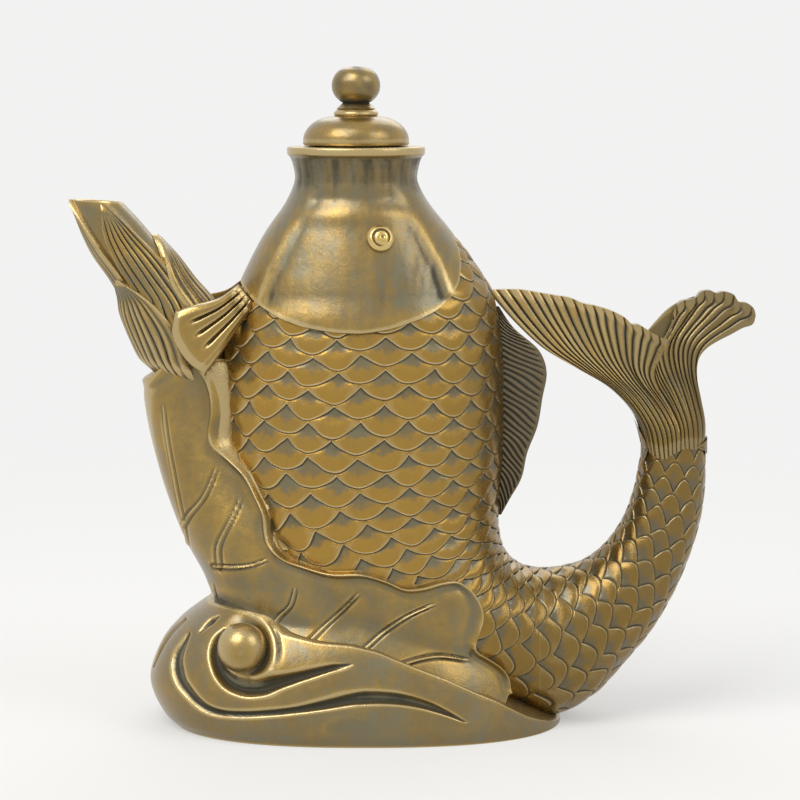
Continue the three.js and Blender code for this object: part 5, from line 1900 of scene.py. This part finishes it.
@dataclass
class WaveBase:
    """Wave foot with deep scrolls and a ball on each flank, over a closing plate."""

    shop: Workshop
    around: int = 560
    squareness: float = 2.4
    half_depth: float = 31.0
    ball_sunk: float = 0.42
    leaf_inset: float = 3.4
    solid_low: tuple[float, float, float] = (-66.0, -34.2, 0.0)
    solid_high: tuple[float, float, float] = (37.5, 34.2, 200.0)
    crown: tuple[tuple[float, float, float], ...] = (
        (0.03, -0.3, 0.2), (0.09, -0.1, 1.3), (0.25, 0.3, 3.6), (0.55, 1.0, 5.0))
    limb: Limb = field(default_factory=lambda: Limb(BASE_SECTIONS, WaveBase.squareness))

    def scrolls(self, grid: Array) -> Array:
        """The grooves, and the hollow of the curl that holds the ball.

        Args:
            grid: Points of the skin.

        Returns:
            How far out each goes.
        """
        flat = grid[..., [0, 2]].reshape(-1, 2)
        total = sum(scroll.cut(flat) for scroll in SCROLLS)
        x, z = flat[:, 0] - SCROLL_BALL_X, flat[:, 1] - SCROLL_BALL_Z
        from_ball = np.hypot(x, z) - SCROLL_BALL_RADIUS
        bearing = np.arctan2(z, x)
        closed = bump((bearing + math.radians(45)) % TURN - math.pi, 0.7)
        total -= 2.2 * bump(np.maximum(0, from_ball + 0.8), 1.6) * (1 - 0.8 * closed)
        upper_right = smooth_step(0.5 * x + 0.8 * z, -1.0, 5.0) * (1 - closed)
        total -= 0.45 * upper_right * bump(from_ball - 2.9, 0.6)
        return total.reshape(grid.shape[:2])

    def ball(self) -> Shape:
        """Makes the ball, half sunk in the near flank, where the scroll curls round it.

        Returns:
            The ball.
        """
        above, below = BASE_SECTIONS[1][1], BASE_SECTIONS[2][1]
        station = 2 - (SCROLL_BALL_Z - below) / (above - below)
        right, left = self.limb.points(station, 0.0), self.limb.points(station, math.pi)
        half = (right[0] - left[0]) / 2
        side = (SCROLL_BALL_X - (right[0] + left[0]) / 2) / half
        depth = self.half_depth * (1 - abs(side) ** self.squareness) ** (1 / self.squareness)
        radius = SCROLL_BALL_RADIUS
        steps = np.linspace(-math.pi / 2, math.pi / 2, 40)
        profile = [(radius * max(math.cos(a), 0), radius * math.sin(a)) for a in steps]
        made = turned_shape(profile, 0.0, 72)
        place = [SCROLL_BALL_X, -depth + radius * self.ball_sunk, SCROLL_BALL_Z]
        made.points = made.points[:, [0, 2, 1]] + place
        return made.facing_out()

    def make(self) -> None:
        """Makes the wave with its two balls."""
        angles = np.linspace(0, TURN, self.around, endpoint=False)
        stations = np.linspace(self.limb.last, 0, 400)
        column = self.limb.grid(stations, angles)
        crest = np.interp(column[..., 0], *np.array(WAVE_CREST).T)
        above = column[..., 2] >= crest
        top = np.where(above.any(axis=0), stations[np.argmax(above, axis=0)], 0.0)
        top = softened(top, 4, True)
        share = np.linspace(0, 1, 130)[:, None]
        station = self.limb.last + (top[None, :] - self.limb.last) * share
        outer = self.limb.points(station, angles[None, :])
        away = directions(outer)
        fade = smooth_step(outer[..., 2], 0.5, 3.0)
        outer = outer + away * ((self.scrolls(outer) + 0.12 * fold_noise(outer, 19, 21)) * fade)[..., None]
        outer[0, :, 2] = 0
        outer = np.clip(outer, self.solid_low, self.solid_high)
        middle = np.array([-10.0, 0, 0])
        crown = []
        x = outer[-1, :, 0]
        heaped = smooth_step(x, 2, 22) + 1 - smooth_step(x, -38, -28) + 0.9 * smooth_step(x, 15, 29)
        for inward, drop, fill in self.crown:
            ring = outer[-1] + (middle - outer[-1]) * [inward, inward, 0]
            ring[:, 2] = np.maximum(ring[:, 2] - drop + fill * heaped, 0.3)
            crown.append(ring)
        sole = [outer[0] + (middle - outer[0]) * [t, t, 0] for t in (0.25, 0.02)]
        shape = tube_shape(np.array([*sole[::-1], *outer, *crown]))
        ball = self.ball()
        whole = shape.joined(ball).joined(ball.mirrored())
        self.shop.piece("wave_foot", whole, Slot.AGED, "ewer", ["wave_base"], sharp=75)


@dataclass
class Lid:
    """Lid that lifts off: dome, spigot, ring and a ball knob on a rivet."""

    shop: Workshop
    dome_flat: float = 5.0
    wall: float = 1.6
    hole_radius: float = 1.6
    ring_radius: float = 5.5
    ring_height: float = 1.85
    knob_radius: float = 6.05
    knob_half_height: float = 4.75
    knob_neck: float = 4.8
    knob_flatness: float = 0.78

    def make(self) -> None:
        """Makes the lid's five pieces."""
        seat = LIP_TOP_Z + CLEARANCE
        top = seat + LID_HEIGHT
        spigot = NECK_BORE_RADIUS - 0.5
        quarter = np.linspace(0, math.pi / 2, 26)
        outer = [(self.dome_flat + (LID_RADIUS - self.dome_flat) * math.cos(a),
                  seat + 1.1 + (LID_HEIGHT - 1.1) * math.sin(a)) for a in quarter]
        inside = spigot - 1.5
        flat_inside = self.dome_flat - self.wall
        inner = [(flat_inside + (inside - flat_inside) * math.cos(a),
                  seat + 0.4 + (LID_HEIGHT - self.wall - 0.4) * math.sin(a)) for a in quarter[::-1]]
        profile = [(self.hole_radius, top - self.wall), *inner, (inside, seat), (LID_RADIUS - 0.35, seat),
                   (LID_RADIUS, seat + 0.35), *outer, (self.hole_radius, top)]
        dome = turned_shape(profile, around=144)
        dome.marks["tone"] = -0.5 + 0.4 * fold_noise(dome.points, 7, 8)
        self.shop.piece("lid_dome_cast", dome, Slot.AGED, "lid", ["lid_dome"])
        low = LIP_TOP_Z - 5
        cup = rounded_profile([(inside, low), (spigot, low), (spigot, LIP_TOP_Z), (inside, LIP_TOP_Z)], 0.5)
        self.shop.piece("lid_spigot_turned", turned_shape(cup, around=144), Slot.DARK, "lid",
                        ["lid_spigot"])
        ring_low = top - 0.15
        ring_top = ring_low + self.ring_height
        ring = [(self.hole_radius, ring_low), (self.ring_radius - 0.5, ring_low),
                (self.ring_radius, ring_low + 0.45), (self.ring_radius, ring_low + 0.95),
                (self.ring_radius - 0.9, ring_top), (self.hole_radius, ring_top)]
        self.shop.piece("knob_ring_turned", turned_shape(rounded_profile(ring, 0.4)), Slot.WORN, "lid",
                        ["knob_ring"])
        low = top + 1.6
        middle = top + 1.4 + 2 * CLEARANCE + 1.2 + self.knob_half_height * 0.9
        arc = np.linspace(math.asin(-0.95), math.pi / 2, 40)
        ball = [(self.knob_radius * max(math.cos(a), 0) ** self.knob_flatness,
                 middle + self.knob_half_height * math.sin(a)) for a in arc]
        neck = [(0, low), (self.knob_neck - 0.3, low), (self.knob_neck, low + 0.25),
                (self.knob_neck * 0.9, low + 0.6), (self.knob_neck * 0.86, low + 0.85)]
        knob = turned_shape([*neck, *ball[2:]], around=120)
        uneven = fold_noise(knob.points, 9, 4)[:, None]
        knob.points += 0.07 * (knob.points - [MOUTH_X, 0, middle]) / 6 * uneven
        knob.marks["tone"] = -0.98 + 0.4 * fold_noise(knob.points, 5, 7)
        self.shop.piece("lid_knob_ball", knob, Slot.WORN, "lid", ["lid_knob"])
        head_top = top - self.wall - CLEARANCE
        rivet = [(0, head_top - 1), (2.1, head_top - 0.95), (2.55, head_top - 0.5), (2.6, head_top),
                 (1.3, head_top), (1.3, low - 0.1), (0, low - 0.1)]
        self.shop.piece("knob_rivet_head", turned_shape(rivet, around=48), Slot.DARK, "lid", ["knob_rivet"])


@dataclass(frozen=True)
class Lamp:
    """Square soft lamp: its place and width in metres, and its power in watts."""

    name: str
    place: tuple[float, float, float]
    size: float
    watts: float
    color: tuple[float, float, float] = (1.0, 1.0, 1.0)


LAMPS = [
    Lamp("lamp_left", (-0.55, -0.65, 1.15), 0.9, 12.0, (1.0, 0.98, 0.95)),
    Lamp("lamp_right", (0.85, -0.5, 0.85), 0.6, 2.5),
    Lamp("lamp_back", (0.1, 0.9, 0.9), 0.9, 4.0),
]


@dataclass
class Studio:
    """Pale floor, soft lamps and the camera of the photograph, in metres."""

    camera_place: tuple[float, float, float] = (-0.003, -0.650, 0.160)
    camera_target: tuple[float, float, float] = (-0.003, 0.0, 0.0805)
    focal_pixels: float = 2619.4
    picture_pixels: float = 800.0
    sensor_width: float = 36.0
    lamp_target: tuple[float, float, float] = (0.0, 0.0, 0.07)
    floor_half: float = 3.0
    background: tuple[float, float, float] = (0.89, 0.89, 0.885)

    @staticmethod
    def aimed(name: str, data: bpy.types.ID, place: Sequence[float],
              target: Sequence[float]) -> bpy.types.Object:
        """Adds a camera or a lamp that looks from its place at a target.

        Args:
            name: Its name.
            data: Camera or lamp.
            place: Where it stands.
            target: What it looks at.

        Returns:
            The new object.
        """
        made = bpy.data.objects.new(name, data)
        made.location = place
        made.rotation_euler = (Vector(target) - Vector(place)).to_track_quat("-Z", "Y").to_euler()
        bpy.context.scene.collection.objects.link(made)
        return made

    def make_camera(self) -> None:
        """Camera at the photograph's height and distance."""
        data = bpy.data.cameras.new("camera")
        data.sensor_width = self.sensor_width
        data.lens = self.focal_pixels / self.picture_pixels * self.sensor_width
        data.clip_start = 0.01
        bpy.context.scene.camera = self.aimed("camera", data, self.camera_place, self.camera_target)

    @staticmethod
    def seen(graph: Graph) -> Wire:
        """Tells which rays see the studio as a pale ground.

        Args:
            graph: The tree of a material or world.

        Returns:
            1 for rays seen directly, mirrored or refracted, else 0.
        """
        path = graph.node("ShaderNodeLightPath")
        rays = [Wire(graph, path.outputs[name])
                for name in ("Is Camera Ray", "Is Glossy Ray", "Is Transmission Ray")]
        return graph.math("MINIMUM", rays[0] + rays[1] + rays[2], 1.0)

    def make_floor(self) -> None:
        """Wide pale floor that keeps the ewer's shadow."""
        half = self.floor_half
        mesh = bpy.data.meshes.new("floor")
        corners = [(-half, -half, 0), (half, -half, 0), (half, half, 0), (-half, half, 0)]
        mesh.from_pydata(corners, [], [[0, 1, 2, 3]])
        floor = bpy.data.objects.new("floor", mesh)
        bpy.context.scene.collection.objects.link(floor)
        material = bpy.data.materials.new("pale floor")
        graph = Graph.emptied(material)
        paper = graph.wire("ShaderNodeBsdfDiffuse", {"Color": (0.84, 0.84, 0.83, 1)})
        glow = graph.wire("ShaderNodeEmission", {"Color": (*self.background, 1), "Strength": 1.0})
        place = graph.wire("ShaderNodeTexCoord", out="Object")
        reach = graph.wire("ShaderNodeVectorMath", {0: place}, out="Value", operation="LENGTH")
        share = self.seen(graph) * (0.45 + 0.55 * graph.smooth(reach, 0.12, 0.5))
        shown = graph.wire("ShaderNodeMixShader", {0: share, 1: paper, 2: glow})
        graph.node("ShaderNodeOutputMaterial", {"Surface": shown})
        mesh.materials.append(material)

    def make_world(self) -> None:
        """Soft even light from all round, and the pale studio for rays seen directly, mirrored or
        refracted.
        """
        world = bpy.data.worlds.new("studio")
        bpy.context.scene.world = world
        graph = Graph.emptied(world)
        pale = graph.wire("ShaderNodeBackground", {"Color": (*self.background, 1), "Strength": 1.0})
        lit = graph.wire("ShaderNodeBackground", {"Color": (0.98, 0.97, 0.95, 1), "Strength": 0.55})
        shown = graph.wire("ShaderNodeMixShader", {0: self.seen(graph), 1: lit, 2: pale})
        graph.node("ShaderNodeOutputWorld", {"Surface": shown})

    def make_lamps(self) -> None:
        """Lamps that face the ewer."""
        for lamp in LAMPS:
            data = bpy.data.lights.new(lamp.name, "AREA")
            data.size = lamp.size
            data.energy = lamp.watts
            data.color = lamp.color
            self.aimed(lamp.name, data, lamp.place, self.lamp_target)

    def make(self) -> None:
        """Makes the studio."""
        self.make_camera()
        self.make_floor()
        self.make_world()
        self.make_lamps()
        bpy.context.scene.view_settings.view_transform = "Standard"


def dress_plate(frame: dict[str, Any], shop: Workshop) -> None:
    """Gives the closing plate under the foot, whose shape is right, its finish.

    Args:
        frame: The loaded frame.
        shop: The workshop with the finishes.
    """
    plate = frame["nodes"]["bottom_plate"]
    plate.data.materials.clear()
    plate.data.materials.append(shop.materials[Slot.DARK])
    log.info("bottom_plate: the frame's own shape")


def main() -> None:
    """Builds the ewer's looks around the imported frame."""
    logging.basicConfig(level=logging.INFO, format="%(name)s %(message)s")
    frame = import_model()
    Studio().make()
    shop = Workshop()
    spout = Spout(shop)
    fish = Fish(shop)
    fish.make()
    Head(shop).make()
    spout.make()
    wave = WaveBase(shop)
    insets = [lambda stations: 0 * stations, spout.core_offset,
              lambda stations: 0 * stations - wave.leaf_inset]
    Leaf(shop, Wrap([fish.limb, spout.limb, wave.limb], insets)).make()
    wave.make()
    Lid(shop).make()
    dress_plate(frame, shop)


if __name__ == "__main__":
    main()
